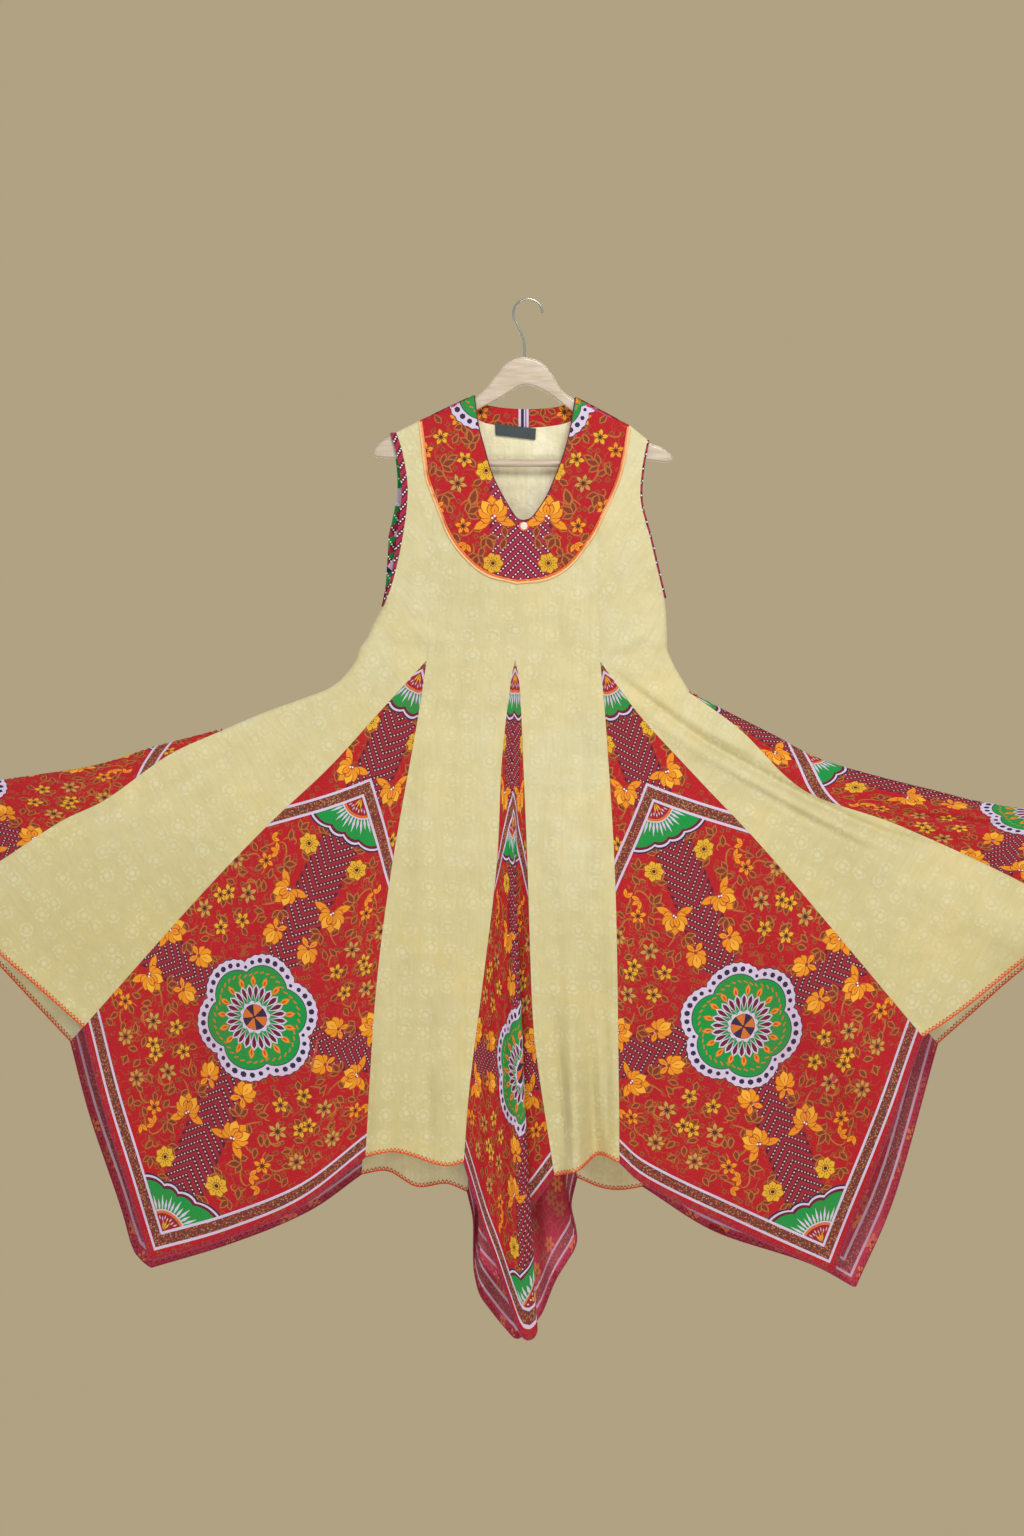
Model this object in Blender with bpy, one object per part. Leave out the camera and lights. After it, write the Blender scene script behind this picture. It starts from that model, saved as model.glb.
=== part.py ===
"""A sleeveless kurti with scarf-print godets, hung on a wooden hanger.

Metres, +Z up, the front towards -Y. The origin is the inner top of the hanger's hook.
Left and right are as seen from the front. Each cloth piece is a thin wall over a grid
between its own seams, and the gap between front and back follows one depth rule, so
neighbours meet along the seam that they share.
"""

import math

import bmesh
import bpy
import numpy as np

MM = 0.001
WALL = 1.2 * MM
SEAM_INSET = 0.28 * MM
CLEAR = 0.3 * MM

# Depth rule: cloth rounds over the hanger's arms, then opens out inside the closed edges
EDGE = 0.8 * MM
ARM_ROUND = 8.0 * MM
OPENING_RUN = 130 * MM
HALF_DEPTH = [  # down, half of the depth between front and back
    (140, 14),
    (300, 24),
    (520, 23),
    (800, 32),
    (1300, 40),
    (1550, 36),
]

# Hanger
HANGER_THICK = 11.0 * MM
HANGER_BEVEL = 4.0 * MM
BAR_RADIUS = 5.5 * MM
WIRE_RADIUS = 1.7 * MM

# Trimmings
TRIM_WIDTH = 7.5 * MM
TRIM_THICK = 1.6 * MM
LABEL_THICK = 0.8 * MM
BUTTON_RADIUS = 5.5 * MM
BUTTON_THICK = 2.4 * MM
LOOP_RADIUS = 0.8 * MM

# Outlines seen from the front, in mm from the hook's inner top: across, down
SHOULDER = {
    "left": [(-80, 141), (-112, 158), (-160, 179), (-196, 197)],
    "right": [(71, 144), (104, 165), (150, 186), (178, 208)],
}
BACK_SEAM_AT = {"left": (-138, 169), "right": (127, 175)}
NECK = {
    "left": [(-80, 141), (-73, 188), (-64, 222), (-54, 257), (-40, 287), (-18, 323)],
    "right": [(71, 144), (62, 195), (53, 229), (44, 253), (28, 291), (7, 322)],
}
NECK_POINT = (-6, 328)
YOKE_UPPER = {
    "left": [(-160, 179), (-156, 209), (-150, 260), (-141, 288)],
    "right": [(150, 186), (142, 236), (130, 277), (105, 332)],
}
YOKE_LOWER = {
    "left": [(-141, 288), (-116, 349), (-88, 386), (-58, 408), (-16, 419)],
    "right": [(105, 332), (92, 355), (62, 393), (28, 413), (-16, 419)],
}
ARMHOLE = {
    "left": [(-195, 197), (-185, 231), (-178, 283), (-185, 349), (-200, 417), (-214, 454)],
    "right": [(177, 208), (169, 252), (167, 300), (181, 355), (195, 414), (202, 442)],
}
SIDE = {
    "left": [(-214, 454), (-228, 478), (-240, 504), (-251, 519)],
    "right": [(202, 442), (205, 476), (206, 519)],
}
WING_TUCK = {  # where the side godet is tucked inside
    "left": [(-251, 519), (-258, 540), (-289, 573), (-335, 592), (-393, 613), (-454, 639)],
    "right": [(206, 519), (217, 544), (240, 583)],
}
WING_TOP = {  # from there to the hem, sewn to the side godet
    "left": [(-454, 639), (-534, 676), (-624, 740), (-693, 774), (-783, 833), (-871, 890)],
    "right": [(240, 583), (316, 639), (409, 727), (549, 779), (711, 853), (819, 914)],
}
SIDE_FOLD = {
    "left": [(-454, 636), (-556, 663), (-647, 691), (-783, 712), (-1015, 748), (-1246, 783)],
    "right": [(240, 580), (279, 602), (362, 644), (445, 685), (601, 727), (736, 755), (1193, 816)],
}
PRINCESS = {
    "left": [(-141, 288), (-144, 386), (-150, 535)],
    "right": [(105, 332), (104, 430), (107, 537)],
}
BACK_PRINCESS = {
    "left": [(-138, 169), (-143, 340), (-150, 535)],
    "right": [(127, 175), (112, 340), (107, 537)],
}
OUTER_SEAM = {
    "left": [(-150, 535), (-214, 605), (-295, 694), (-389, 783), (-491, 890), (-657, 1077)],
    "right": [(107, 537), (166, 617), (254, 713), (340, 804), (427, 905), (583, 1091)],
}
INNER_SEAM = {
    "left": [(-150, 535), (-165, 633), (-202, 844), (-225, 1028), (-240, 1268)],
    "right": [(107, 537), (116, 643), (129, 868), (134, 1161), (135, 1276)],
}
CENTRE_FRONT = [(-16, 419), (-19, 533)]
CENTRE_BACK = [(-6, 189), (-10, 340), (-19, 533)]
CENTRE_SEAM = {
    "left": [(-19, 533), (-27, 578), (-39, 688), (-46, 835), (-65, 997), (-86, 1161), (-95, 1276)],
    "right": [(-19, 533), (-12, 578), (-7, 688), (-1, 835), (6, 1044), (15, 1138), (39, 1296)],
}
HEM = {  # from each wing's tip towards the centre, corner to corner
    "left": {
        "wing": [(-871, 890), (-743, 1001), (-657, 1077)],
        "godet outer": [(-657, 1077), (-620, 1221), (-558, 1421)],
        "godet inner": [(-558, 1421), (-452, 1391), (-340, 1344), (-240, 1268)],
        "centre": [(-240, 1268), (-217, 1262), (-188, 1262), (-127, 1281), (-95, 1276)],
    },
    "right": {
        "wing": [(819, 914), (736, 976), (645, 1049), (583, 1091)],
        "godet outer": [(583, 1091), (522, 1261), (451, 1440)],
        "godet inner": [(451, 1440), (314, 1378), (178, 1312), (135, 1276)],
        "centre": [(135, 1276), (104, 1266), (76, 1286), (39, 1296)],
    },
}
BACK_HEM = {
    "left": {
        "wing": [(-868, 908), (-783, 993), (-681, 1101)],
        "godet outer": [(-681, 1101), (-651, 1215), (-604, 1351), (-585, 1412), (-561, 1437)],
        "godet inner": [(-561, 1437), (-452, 1405), (-331, 1357), (-248, 1299)],
        "centre": [(-248, 1299), (-208, 1294), (-165, 1317), (-122, 1313), (-90, 1325)],
    },
    "right": {
        "wing": [(822, 929), (736, 992), (662, 1058), (610, 1104)],
        "godet outer": [(610, 1104), (544, 1339), (488, 1468)],
        "godet inner": [(488, 1468), (418, 1431), (277, 1382), (171, 1317)],
        "centre": [(171, 1317), (138, 1323), (110, 1320), (73, 1304)],
    },
}
BAND_TOP = [(-80, 141), (-61, 155), (-6, 161), (47, 157), (71, 144)]
BAND_FOOT = [(-98, 150), (-74, 177), (-47, 185), (-6, 189), (28, 187), (64, 179), (89, 154)]
BINDING_OUT = {  # down, how far the armhole binding reaches past the panels
    "left": {
        "front": [(190, 9), (349, 9), (400, 5), (454, 3)],
        "back": [(190, 9), (260, 14), (349, 22), (400, 14), (454, 3)],
    },
    "right": {"front": [(190, 3), (454, 3)], "back": [(190, 3), (454, 3)]},
}
LABEL = [(-49, 183), (12, 190), (-48, 200), (11, 207)]

# Centre godets folded across, a row for each fold: share of the cloth, place between the
# seams, mm behind them, and the hem there (across, down)
CENTRE_PLEATS = {
    "front": [
        (0.00, 0.00, 0.0, -95, 1276),
        (0.10, 0.17, 12.0, -78, 1332),
        (0.20, 0.36, 1.0, -60, 1391),
        (0.30, 0.55, 13.0, -42, 1440),
        (0.40, 0.75, 1.0, -22, 1500),
        (0.47, 0.88, -1.0, -5, 1549),
        (0.50, 0.90, 2.0, 20, 1531),
        (0.54, 0.82, 6.0, 8, 1505),
        (0.66, 0.42, 17.0, -40, 1455),
        (0.75, 0.13, 20.0, -74, 1420),
        (0.77, 0.11, 22.5, -77, 1410),
        (0.79, 0.15, 25.0, -73, 1402),
        (0.90, 0.70, 17.0, -2, 1352),
        (1.00, 1.00, 0.0, 39, 1296),
    ],
    "back": [
        (0.00, 0.00, 0.0, -90, 1325),
        (0.09, 0.10, 8.0, -80, 1366),
        (0.18, 0.17, -6.0, -81, 1440),
        (0.28, 0.29, 15.0, -72, 1478),
        (0.38, 0.38, -7.0, -45, 1515),
        (0.50, 0.50, 13.0, -16, 1547),
        (0.62, 0.62, -7.0, 20, 1510),
        (0.72, 0.72, 15.0, 40, 1455),
        (0.82, 0.81, -6.0, 76, 1402),
        (0.91, 0.90, 8.0, 62, 1346),
        (1.00, 1.00, 0.0, 73, 1304),
    ],
}
PLEAT_FROM, PLEAT_FULL = 0.18, 0.75  # share of the godet's length

# Soft folds that run out towards the hem: start, end, half width and height at the end, mm
FOLDS = {
    "front": [
        (114, 545, 640, 826, 26, -9),
        (130, 590, 600, 872, 34, 8),
        (-262, 540, -760, 840, 30, -7),
        (-200, 590, -700, 930, 36, 6),
        (-215, 700, -330, 1350, 44, 7),
        (-290, 760, -560, 1240, 52, -9),
        (58, 900, 70, 1290, 15, 15),
        (86, 1000, 100, 1262, 13, -13),
        (-150, 900, -165, 1270, 26, -8),
        (-205, 900, -222, 1270, 20, 6),
        (170, 800, 240, 1340, 46, 7),
        (250, 760, 430, 1250, 50, -9),
        (330, 880, 545, 1210, 46, 7),
        (-150, 420, -152, 530, 16, 3),
        (104, 430, 108, 540, 16, 3),
    ],
    "back": [
        (-240, 600, -760, 960, 50, 10),
        (-210, 720, -520, 1290, 60, -12),
        (-190, 800, -330, 1360, 46, 11),
        (-150, 850, -170, 1310, 30, -10),
        (110, 850, 125, 1320, 26, 10),
        (150, 800, 280, 1380, 48, -12),
        (230, 760, 480, 1320, 56, 11),
        (260, 650, 740, 980, 46, -9),
        (-60, 300, -80, 530, 40, 5),
        (50, 300, 60, 530, 40, 5),
    ],
}

# Shares of an edge's length where the grid has a row
SHOULDER_DOWN = [0, 0.027, 0.09, 0.27, 0.6, 1]
BAND_STEPS = [0, 0.03, 0.1, 0.35, 0.7, 1]
NECK_DOWN = [0, 0.016, 0.05, 0.15, 0.34, 0.56, 0.7, 0.81, 0.9, 0.96, 1]
ARMHOLE_DOWN = [0, 0.012, 0.04, 0.12, 0.3, 0.52, 0.76, 1]
PRINCESS_DOWN = [0, 0.2, 0.4, 0.6, 0.8, 1]
BACK_DOWN = [0, 0.009, 0.03, 0.09, 0.2, 0.32, 0.45, 0.58, 0.72, 0.86, 1]
SIDE_DOWN = [0, 0.33, 0.67, 1]
SKIRT_DOWN = [0, 0.009, 0.1, 0.21, 0.33, 0.46, 0.6, 0.73, 0.87, 1]
CENTRE_SKIRT_DOWN = [0, 0.014, 0.1, 0.21, 0.33, 0.46, 0.6, 0.73, 0.87, 1]
TUCK_DOWN = {"left": [0, 0.3, 0.65, 1], "right": [0, 0.45, 1]}
WING_DOWN = {"left": 6, "right": 7}
FROM_CLOSED_EDGE = [0, 0.02, 0.07, 0.22, 0.46, 0.73, 1]
CENTRE_ACROSS = 5
GODET_HALF = 5
YOKE_ACROSS = 3
LEAF = [0, 0.3, 0.6, 0.84, 0.96, 1]

COLOURS = {  # name: red, green, blue (linear), roughness, metallic
    "cream": (0.72, 0.64, 0.36, 0.8, 0.0),
    "print": (0.55, 0.03, 0.03, 0.75, 0.0),
    "braid": (0.85, 0.22, 0.03, 0.6, 0.0),
    "wood": (0.68, 0.5, 0.3, 0.5, 0.0),
    "steel": (0.5, 0.5, 0.5, 0.3, 1.0),
    "label": (0.08, 0.09, 0.09, 0.8, 0.0),
    "pearl": (0.85, 0.6, 0.55, 0.25, 0.0),
}


def shares(count):
    return np.linspace(0, 1, count + 1)


def curve(points, at):
    """Places on a smooth curve through the points, at these shares of its length: x, z."""
    p = np.array(points, float) * (MM, -MM)
    p = np.vstack([2 * p[0] - p[1], p, 2 * p[-1] - p[-2]])
    t = np.linspace(0, 1, 16, endpoint=False)[:, None]
    runs = [
        b + 0.5 * t * ((c - a) + t * ((2 * a - 5 * b + 4 * c - d) + t * (3 * (b - c) + d - a)))
        for a, b, c, d in zip(p, p[1:], p[2:], p[3:])
    ]
    fine = np.vstack(runs + [p[-2:-1]])
    run = np.concatenate([[0], np.cumsum(np.linalg.norm(np.diff(fine, axis=0), axis=1))])
    s = np.asarray(at) * run[-1]
    return np.column_stack([np.interp(s, run, fine[:, k]) for k in (0, 1)])


def joined(*edges):
    """Edges that follow each other, as one, with each shared end once."""
    return np.vstack([edges[0]] + [e[1:] for e in edges[1:]])


def closed_edges():
    """The edges where front and back come together, as pairs of ends."""
    ends = []
    for side in ("left", "right"):
        shoulder = curve(SHOULDER[side], shares(16))
        flank = joined(
            curve(SIDE[side], shares(8)),
            curve(WING_TUCK[side], shares(20)),
            curve(SIDE_FOLD[side], shares(30)),
        )
        for line in (shoulder, flank):
            ends += list(zip(line[:-1], line[1:]))
    return np.array(ends)


CLOSED = closed_edges()


def from_closed_edge(p):
    a, b = CLOSED[:, 0], CLOSED[:, 1]
    along = b - a
    reach = ((p[..., None, :] - a) * along).sum(-1) / (along**2).sum(-1)
    foot = a + np.clip(reach, 0, 1)[..., None] * along
    return np.linalg.norm(p[..., None, :] - foot, axis=-1).min(-1)


def fold_height(face, p):
    height = np.zeros(p.shape[:-1])
    for x0, down0, x1, down1, width, high in FOLDS[face]:
        a = np.array((x0, -down0)) * MM
        b = np.array((x1, -down1)) * MM
        along = b - a
        length = np.linalg.norm(along)
        t = ((p - a) @ along) / length**2
        off = ((p - a) @ (-along[1], along[0])) / length
        grown = np.clip(t, 0, 1)
        rise = grown**2 * (3 - 2 * grown)
        half = width * MM * (0.35 + 0.65 * grown)
        height += high * MM * rise * np.exp(-((off / half) ** 2))
    return height


def half_depth(face, p):
    """How far the cloth's middle lies from the middle plane at the places p: x, z."""
    d = from_closed_edge(p)
    down, deep = np.array(HALF_DEPTH).T * MM
    full = np.interp(-p[..., 1], down, deep)
    near = 1 - np.clip(d / ARM_ROUND, 0, 1)
    opened = 1 - np.exp(-d / OPENING_RUN)
    round_part = ARM_ROUND * np.sqrt(1 - near**2)
    return EDGE + round_part + opened * (full - ARM_ROUND + fold_height(face, p) * 1.6)


def raised(face, p, out=0.0):
    """The places p as points of the cloth, x, y, z, moved out from its middle."""
    y = half_depth(face, p) + out
    sign = -1 if face == "front" else 1
    return np.stack([p[..., 0], sign * y, p[..., 1]], axis=-1)


def patch(top, foot, left, right, across=None):
    """A grid of x, z places between four edges that meet at their ends."""
    rows, cols = len(left), len(top)
    v = shares(rows - 1)[:, None, None]
    u = (shares(cols - 1) if across is None else np.array(across))[None, :, None]
    between_sides = (1 - u) * left[:, None] + u * right[:, None]
    between_ends = (1 - v) * top[None] + v * foot[None]
    corners = (1 - u) * ((1 - v) * top[0] + v * foot[0]) + u * ((1 - v) * top[-1] + v * foot[-1])
    return between_sides + between_ends - corners


def inset(grid, amount=SEAM_INSET):
    """The grid with its edges drawn in, which leaves the gap at a seam."""
    g = grid.copy()
    for axis in (0, 1):
        g = np.swapaxes(g, 0, axis)
        for edge, inner in ((0, 1), (-1, -2)):
            step = g[inner] - g[edge]
            length = np.maximum(np.linalg.norm(step, axis=-1, keepdims=True), 1e-9)
            g[edge] = g[edge] + step * np.minimum(amount / length, 0.4)
        g = np.swapaxes(g, 0, axis)
    return g


def normals(grid, ring):
    if ring:
        down = np.roll(grid, -1, 0) - np.roll(grid, 1, 0)
    else:
        down = np.gradient(grid, axis=0)
    n = np.cross(np.gradient(grid, axis=1), down)
    return n / np.linalg.norm(n, axis=-1, keepdims=True)


def finish(name, bm, colour):
    bm.normal_update()
    bmesh.ops.recalc_face_normals(bm, faces=bm.faces)
    mesh = bpy.data.meshes.new(name)
    bm.to_mesh(mesh)
    bm.free()
    mesh.materials.append(MATERIALS[colour])
    mesh.shade_smooth()
    mesh.set_sharp_from_angle(angle=math.radians(50))
    obj = bpy.data.objects.new(name, mesh)
    KURTI.objects.link(obj)
    return obj


def shell(name, grid, colour, wall=WALL, ring=False, square_from=None):
    """A wall of even thickness over a grid of points, closed all round its edge.

    From the row square_from its long edges are square to the front, as those of its
    neighbours are, so that the two walls stay side by side.
    """
    off = normals(grid, ring) * wall / 2
    if square_from is not None:
        for k in (0, -1):
            off[square_from:, k] = (0, math.copysign(wall / 2, off[-1, k, 1]), 0)
    rows, cols = grid.shape[:2]
    bm = bmesh.new()
    faces = [[[bm.verts.new(p) for p in row] for row in g] for g in (grid + off, grid - off)]
    for i in range(rows if ring else rows - 1):
        j = (i + 1) % rows
        for k in range(cols - 1):
            for side in faces:
                bm.faces.new((side[i][k], side[i][k + 1], side[j][k + 1], side[j][k]))
        for k in (0, cols - 1):
            bm.faces.new((faces[0][i][k], faces[0][j][k], faces[1][j][k], faces[1][i][k]))
    if not ring:
        for i in (0, rows - 1):
            for k in range(cols - 1):
                a, b = faces[0][i][k : k + 2], faces[1][i][k : k + 2]
                bm.faces.new((a[0], a[1], b[1], b[0]))
    return finish(name, bm, colour)


def back_seam(points, front_end, back_end):
    """A front seam's route with its foot moved to the back's longer hem."""
    move = np.subtract(back_end, front_end)
    low = points[0][1]
    return [
        tuple(np.array(p) + move * ((p[1] - low) / (front_end[1] - low)) ** 1.5) for p in points
    ]


def seam_lines(face, side):
    """The places along each skirt seam of one side, shared by the pieces that meet there."""
    outer, inner, centre = OUTER_SEAM[side], INNER_SEAM[side], CENTRE_SEAM[side]
    wing = WING_TOP[side]
    hem = HEM[side]
    if face == "back":
        long = BACK_HEM[side]
        outer = back_seam(outer, hem["wing"][-1], long["wing"][-1])
        inner = back_seam(inner, hem["godet inner"][-1], long["godet inner"][-1])
        centre = back_seam(centre, hem["centre"][-1], long["centre"][-1])
        wing = back_seam(wing, hem["wing"][0], long["wing"][0])
        hem = long
    return {
        "outer": curve(outer, SKIRT_DOWN),
        "inner": curve(inner, SKIRT_DOWN),
        "centre": curve(centre, CENTRE_SKIRT_DOWN),
        "tuck": curve(WING_TUCK[side], TUCK_DOWN[side]),
        "wing": curve(wing, shares(WING_DOWN[side])),
        "hem": hem,
    }


def side_panel(face, side):
    line = seam_lines(face, side)
    outer = joined(
        curve(ARMHOLE[side], ARMHOLE_DOWN),
        curve(SIDE[side], SIDE_DOWN),
        line["tuck"],
        line["wing"],
    )
    if face == "front":
        body = joined(curve(YOKE_UPPER[side], SHOULDER_DOWN), curve(PRINCESS[side], PRINCESS_DOWN))
    else:
        body = curve(BACK_PRINCESS[side], BACK_DOWN)
    inner = joined(body, line["outer"])
    across = FROM_CLOSED_EDGE
    top = outer[0] + np.array(across)[:, None] * (inner[0] - outer[0])
    foot = curve(line["hem"]["wing"], across)
    grid = patch(top, foot, outer, inner, across)
    wing_row = len(outer) - len(line["wing"])
    points = inset(raised(face, grid))
    shell(f"{face}_side_panel_{side}", points, "cream", square_from=wing_row)


def centre_panel(face, side):
    line = seam_lines(face, side)
    if face == "front":
        body = curve(PRINCESS[side], PRINCESS_DOWN)
        middle = curve(CENTRE_FRONT, PRINCESS_DOWN)
        top = curve(YOKE_LOWER[side], shares(CENTRE_ACROSS))
    else:
        body = curve(BACK_PRINCESS[side], BACK_DOWN)
        middle = curve(CENTRE_BACK, BACK_DOWN)
        foot_at = BAND_FOOT if side == "left" else BAND_FOOT[::-1]
        foot_end = foot_at.index(CENTRE_BACK[0])
        top = joined(
            curve([BACK_SEAM_AT[side], foot_at[0]], shares(2)),
            curve(foot_at[: foot_end + 1], BAND_STEPS),
        )
    outer = joined(body, line["inner"])
    inner = joined(middle, line["centre"])
    foot = curve(line["hem"]["centre"], shares(len(top) - 1))
    grid = patch(top, foot, outer, inner)
    shell(f"{face}_centre_panel_{side}", inset(raised(face, grid)), "cream")


def godet(face, side):
    line = seam_lines(face, side)
    outer, inner = line["outer"][1:], line["inner"][1:]
    top = outer[0] + shares(2 * GODET_HALF)[:, None] * (inner[0] - outer[0])
    half = shares(GODET_HALF)
    foot = joined(
        curve(line["hem"]["godet outer"], half), curve(line["hem"]["godet inner"], half)
    )
    grid = patch(top, foot, outer, inner)
    shell(f"{face}_godet_{side}", inset(raised(face, grid)), "print")


def centre_godet(face):
    """Folded into pleats that open out below its point, with its corner hanging down."""
    left = seam_lines(face, "left")["centre"][1:]
    right = seam_lines(face, "right")["centre"][1:]
    share, place, behind, hem_x, hem_down = np.array(CENTRE_PLEATS[face]).T
    v = shares(len(left) - 1)[:, None]
    t = np.clip((v - PLEAT_FROM) / (PLEAT_FULL - PLEAT_FROM), 0, 1)
    folded = t * t * (3 - 2 * t)
    across = (1 - folded) * share + folded * place
    grid = left[:, None] + across[..., None] * (right - left)[:, None]
    hem = np.column_stack([hem_x, -hem_down]) * MM
    grid = grid + (v**3)[..., None] * (hem - grid[-1])
    points = raised(face, grid)
    sign = 1 if face == "front" else -1
    points[..., 1] += sign * folded * behind * MM
    shell(f"{face}_godet_centre", inset(points, 2 * SEAM_INSET), "print")


def side_godet(side):
    """Folded over along its middle, from the front panel's seam over to the back panel's."""
    front, back = (seam_lines(face, side)["wing"] for face in ("front", "back"))
    fold = curve(SIDE_FOLD[side], shares(WING_DOWN[side]))
    share = np.array(LEAF)[None, :, None]
    leaves = []
    for face, seam in (("front", front), ("back", back)):
        places = seam[:, None] + share * (fold - seam)[:, None]
        leaf = raised(face, places)
        leaf[:, -1, 1] = 0
        leaves.append(leaf)
    grid = np.concatenate([leaves[0], leaves[1][:, -2::-1]], axis=1)
    shell(f"side_godet_{side}", inset(grid, 2 * SEAM_INSET), "print", square_from=0)


def yoke():
    """One U-shaped piece round the neck, from shoulder to shoulder."""
    halves = []
    for side in ("left", "right"):
        out = joined(
            curve(YOKE_UPPER[side], SHOULDER_DOWN),
            curve(YOKE_LOWER[side], shares(CENTRE_ACROSS)),
        )
        neck = curve(NECK[side] + [NECK_POINT], NECK_DOWN)
        across = shares(YOKE_ACROSS)[None, :, None]
        halves.append(neck[:, None] + across * (out - neck)[:, None])
    grid = np.concatenate([halves[0], halves[1][-2::-1]])
    shell("front_yoke", inset(raised("front", grid)), "print")


def yoke_trim():
    """A braid over the seam where the yoke meets the panels."""
    lines = []
    for side in ("left", "right"):
        lines.append(
            joined(
                curve(YOKE_UPPER[side], SHOULDER_DOWN)[2:],
                curve(YOKE_LOWER[side], shares(CENTRE_ACROSS)),
            )
        )
    line = joined(lines[0], lines[1][::-1])
    along = np.gradient(line, axis=0)
    along /= np.linalg.norm(along, axis=1, keepdims=True)
    away = np.column_stack([along[:, 1], -along[:, 0]])
    across = np.linspace(-0.5, 0.5, 3)[None, :, None]
    places = line[:, None] + across * TRIM_WIDTH * away[:, None]
    out = WALL / 2 + TRIM_THICK / 2 + 1.6 * CLEAR
    shell("yoke_trim", raised("front", places, out), "braid", TRIM_THICK)


def neckband():
    middle = BAND_FOOT.index(CENTRE_BACK[0])
    half = np.array(BAND_STEPS)
    foot = joined(
        curve(BAND_FOOT[: middle + 1], half), curve(BAND_FOOT[middle:], 1 - half[::-1])
    )
    top = curve(BAND_TOP, np.concatenate([half / 2, 1 - half[-2::-1] / 2]))
    rows = shares(3)[:, None, None]
    grid = top[None] + rows * (foot - top)[None]
    shell("back_neckband", inset(raised("back", grid)), "print")


def armhole_binding(side):
    """A printed strip all round the armhole, over the hanger's arm and under the arm."""
    out = -1 if side == "left" else 1
    strips = []
    for face in ("front", "back"):
        edge = curve(ARMHOLE[side], ARMHOLE_DOWN)
        down, reach = np.array(BINDING_OUT[side][face]).T * MM
        width = np.interp(-edge[:, 1], down, reach)
        inner = edge + (out * 2 * SEAM_INSET, 0)
        outer = edge + np.column_stack([out * width, np.zeros(len(edge))])
        places = np.stack([inner, (inner + outer) / 2, outer], axis=1)
        deep = half_depth(face, edge)[:, None] * np.ones((1, 3))
        sign = -1 if face == "front" else 1
        strips.append(np.stack([places[..., 0], sign * deep, places[..., 1]], axis=-1))
    for strip in strips:
        strip[[0, -1], :, 1] = 0
    grid = np.concatenate([strips[0], strips[1][-2:0:-1]])
    shell(f"armhole_binding_{side}", grid, "print", ring=True)


def label():
    left_top, right_top, left_foot, right_foot = (np.array(c) * (MM, -MM) for c in LABEL)
    u = shares(4)[None, :, None]
    v = shares(2)[:, None, None]
    top = left_top + u * (right_top - left_top)
    foot = left_foot + u * (right_foot - left_foot)
    places = top + v * (foot - top)
    out = -(WALL / 2 + LABEL_THICK / 2 + 2 * CLEAR)
    shell("neck_label", raised("back", places, out), "label", LABEL_THICK)


def wire(name, points, radius, colour):
    data = bpy.data.curves.new(name, "CURVE")
    data.dimensions = "3D"
    data.bevel_depth = radius
    data.bevel_resolution = 2
    data.use_fill_caps = True
    spline = data.splines.new("POLY")
    spline.points.add(len(points) - 1)
    for point, place in zip(spline.points, points):
        point.co = (*place, 1)
    data.materials.append(MATERIALS[colour])
    obj = bpy.data.objects.new(name, data)
    KURTI.objects.link(obj)
    return obj


def hanger_hook():
    """The wire: up from the wood, leaning left, then round over the top."""
    stem = [(-5, 84.5), (-6, 62), (-13, 42), (-21, 26)]
    centre, radius = (0, 20), 20 + WIRE_RADIUS / MM
    turn = [math.radians(a) for a in range(176, -1, -16)]
    bow = [(centre[0] + radius * math.cos(a), centre[1] - radius * math.sin(a)) for a in turn]
    places = curve(stem + bow, shares(30))
    wire("hanger_hook", [(x, 0, z) for x, z in places], WIRE_RADIUS, "steel")


HANGER_TOP = [  # the wood's upper edge from tip to tip
    (-230, 229),
    (-226, 219),
    (-212, 207),
    (-196, 200),
    (-160, 181.5),
    (-112, 160.3),
    (-80, 146),
    (-62, 131),
    (-44, 108),
    (-30, 93),
    (-12, 85.6),
    (0, 85.6),
    (20, 93),
    (36, 111),
    (50, 134),
    (71, 149),
    (104, 167.3),
    (150, 188.5),
    (178, 211),
    (196, 218),
    (212, 230),
    (214, 238),
]
HANGER_FOOT = [  # and its lower edge, with a lobe at each end that holds the bar
    (206, 241),
    (176, 238),
    (168, 246),
    (156, 248),
    (148, 240),
    (140, 222),
    (104, 195),
    (66, 166),
    (28, 138),
    (-6, 126),
    (-40, 145),
    (-76, 164),
    (-112, 188),
    (-156, 216),
    (-162, 238),
    (-170, 247),
    (-184, 246),
    (-192, 236),
    (-212, 234),
    (-226, 233),
]
BAR_DOWN = 242
BAR_FROM, BAR_TO = -161.0, 147.2


def hanger_body():
    data = bpy.data.curves.new("hanger_body", "CURVE")
    data.dimensions = "2D"
    data.fill_mode = "BOTH"
    data.extrude = HANGER_THICK / 2 - HANGER_BEVEL
    data.bevel_depth = HANGER_BEVEL
    data.bevel_resolution = 1
    data.offset = -HANGER_BEVEL
    outline = joined(
        curve(HANGER_TOP, shares(54)), curve(HANGER_TOP[-1:] + HANGER_FOOT, shares(46))
    )
    spline = data.splines.new("POLY")
    spline.points.add(len(outline) - 1)
    for point, (x, z) in zip(spline.points, outline):
        point.co = (x, z, 0, 1)
    spline.use_cyclic_u = True
    guide = bpy.data.objects.new("hanger_outline", data)
    KURTI.objects.link(guide)
    bpy.context.view_layer.update()
    evaluated = guide.evaluated_get(bpy.context.evaluated_depsgraph_get())
    bm = bmesh.new()
    bm.from_mesh(evaluated.to_mesh())
    evaluated.to_mesh_clear()
    bpy.data.objects.remove(guide)
    bmesh.ops.remove_doubles(bm, verts=bm.verts, dist=0.01 * MM)
    for v in bm.verts:
        v.co = (v.co.x, -v.co.z, v.co.y)
    finish("hanger_body", bm, "wood")


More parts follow.
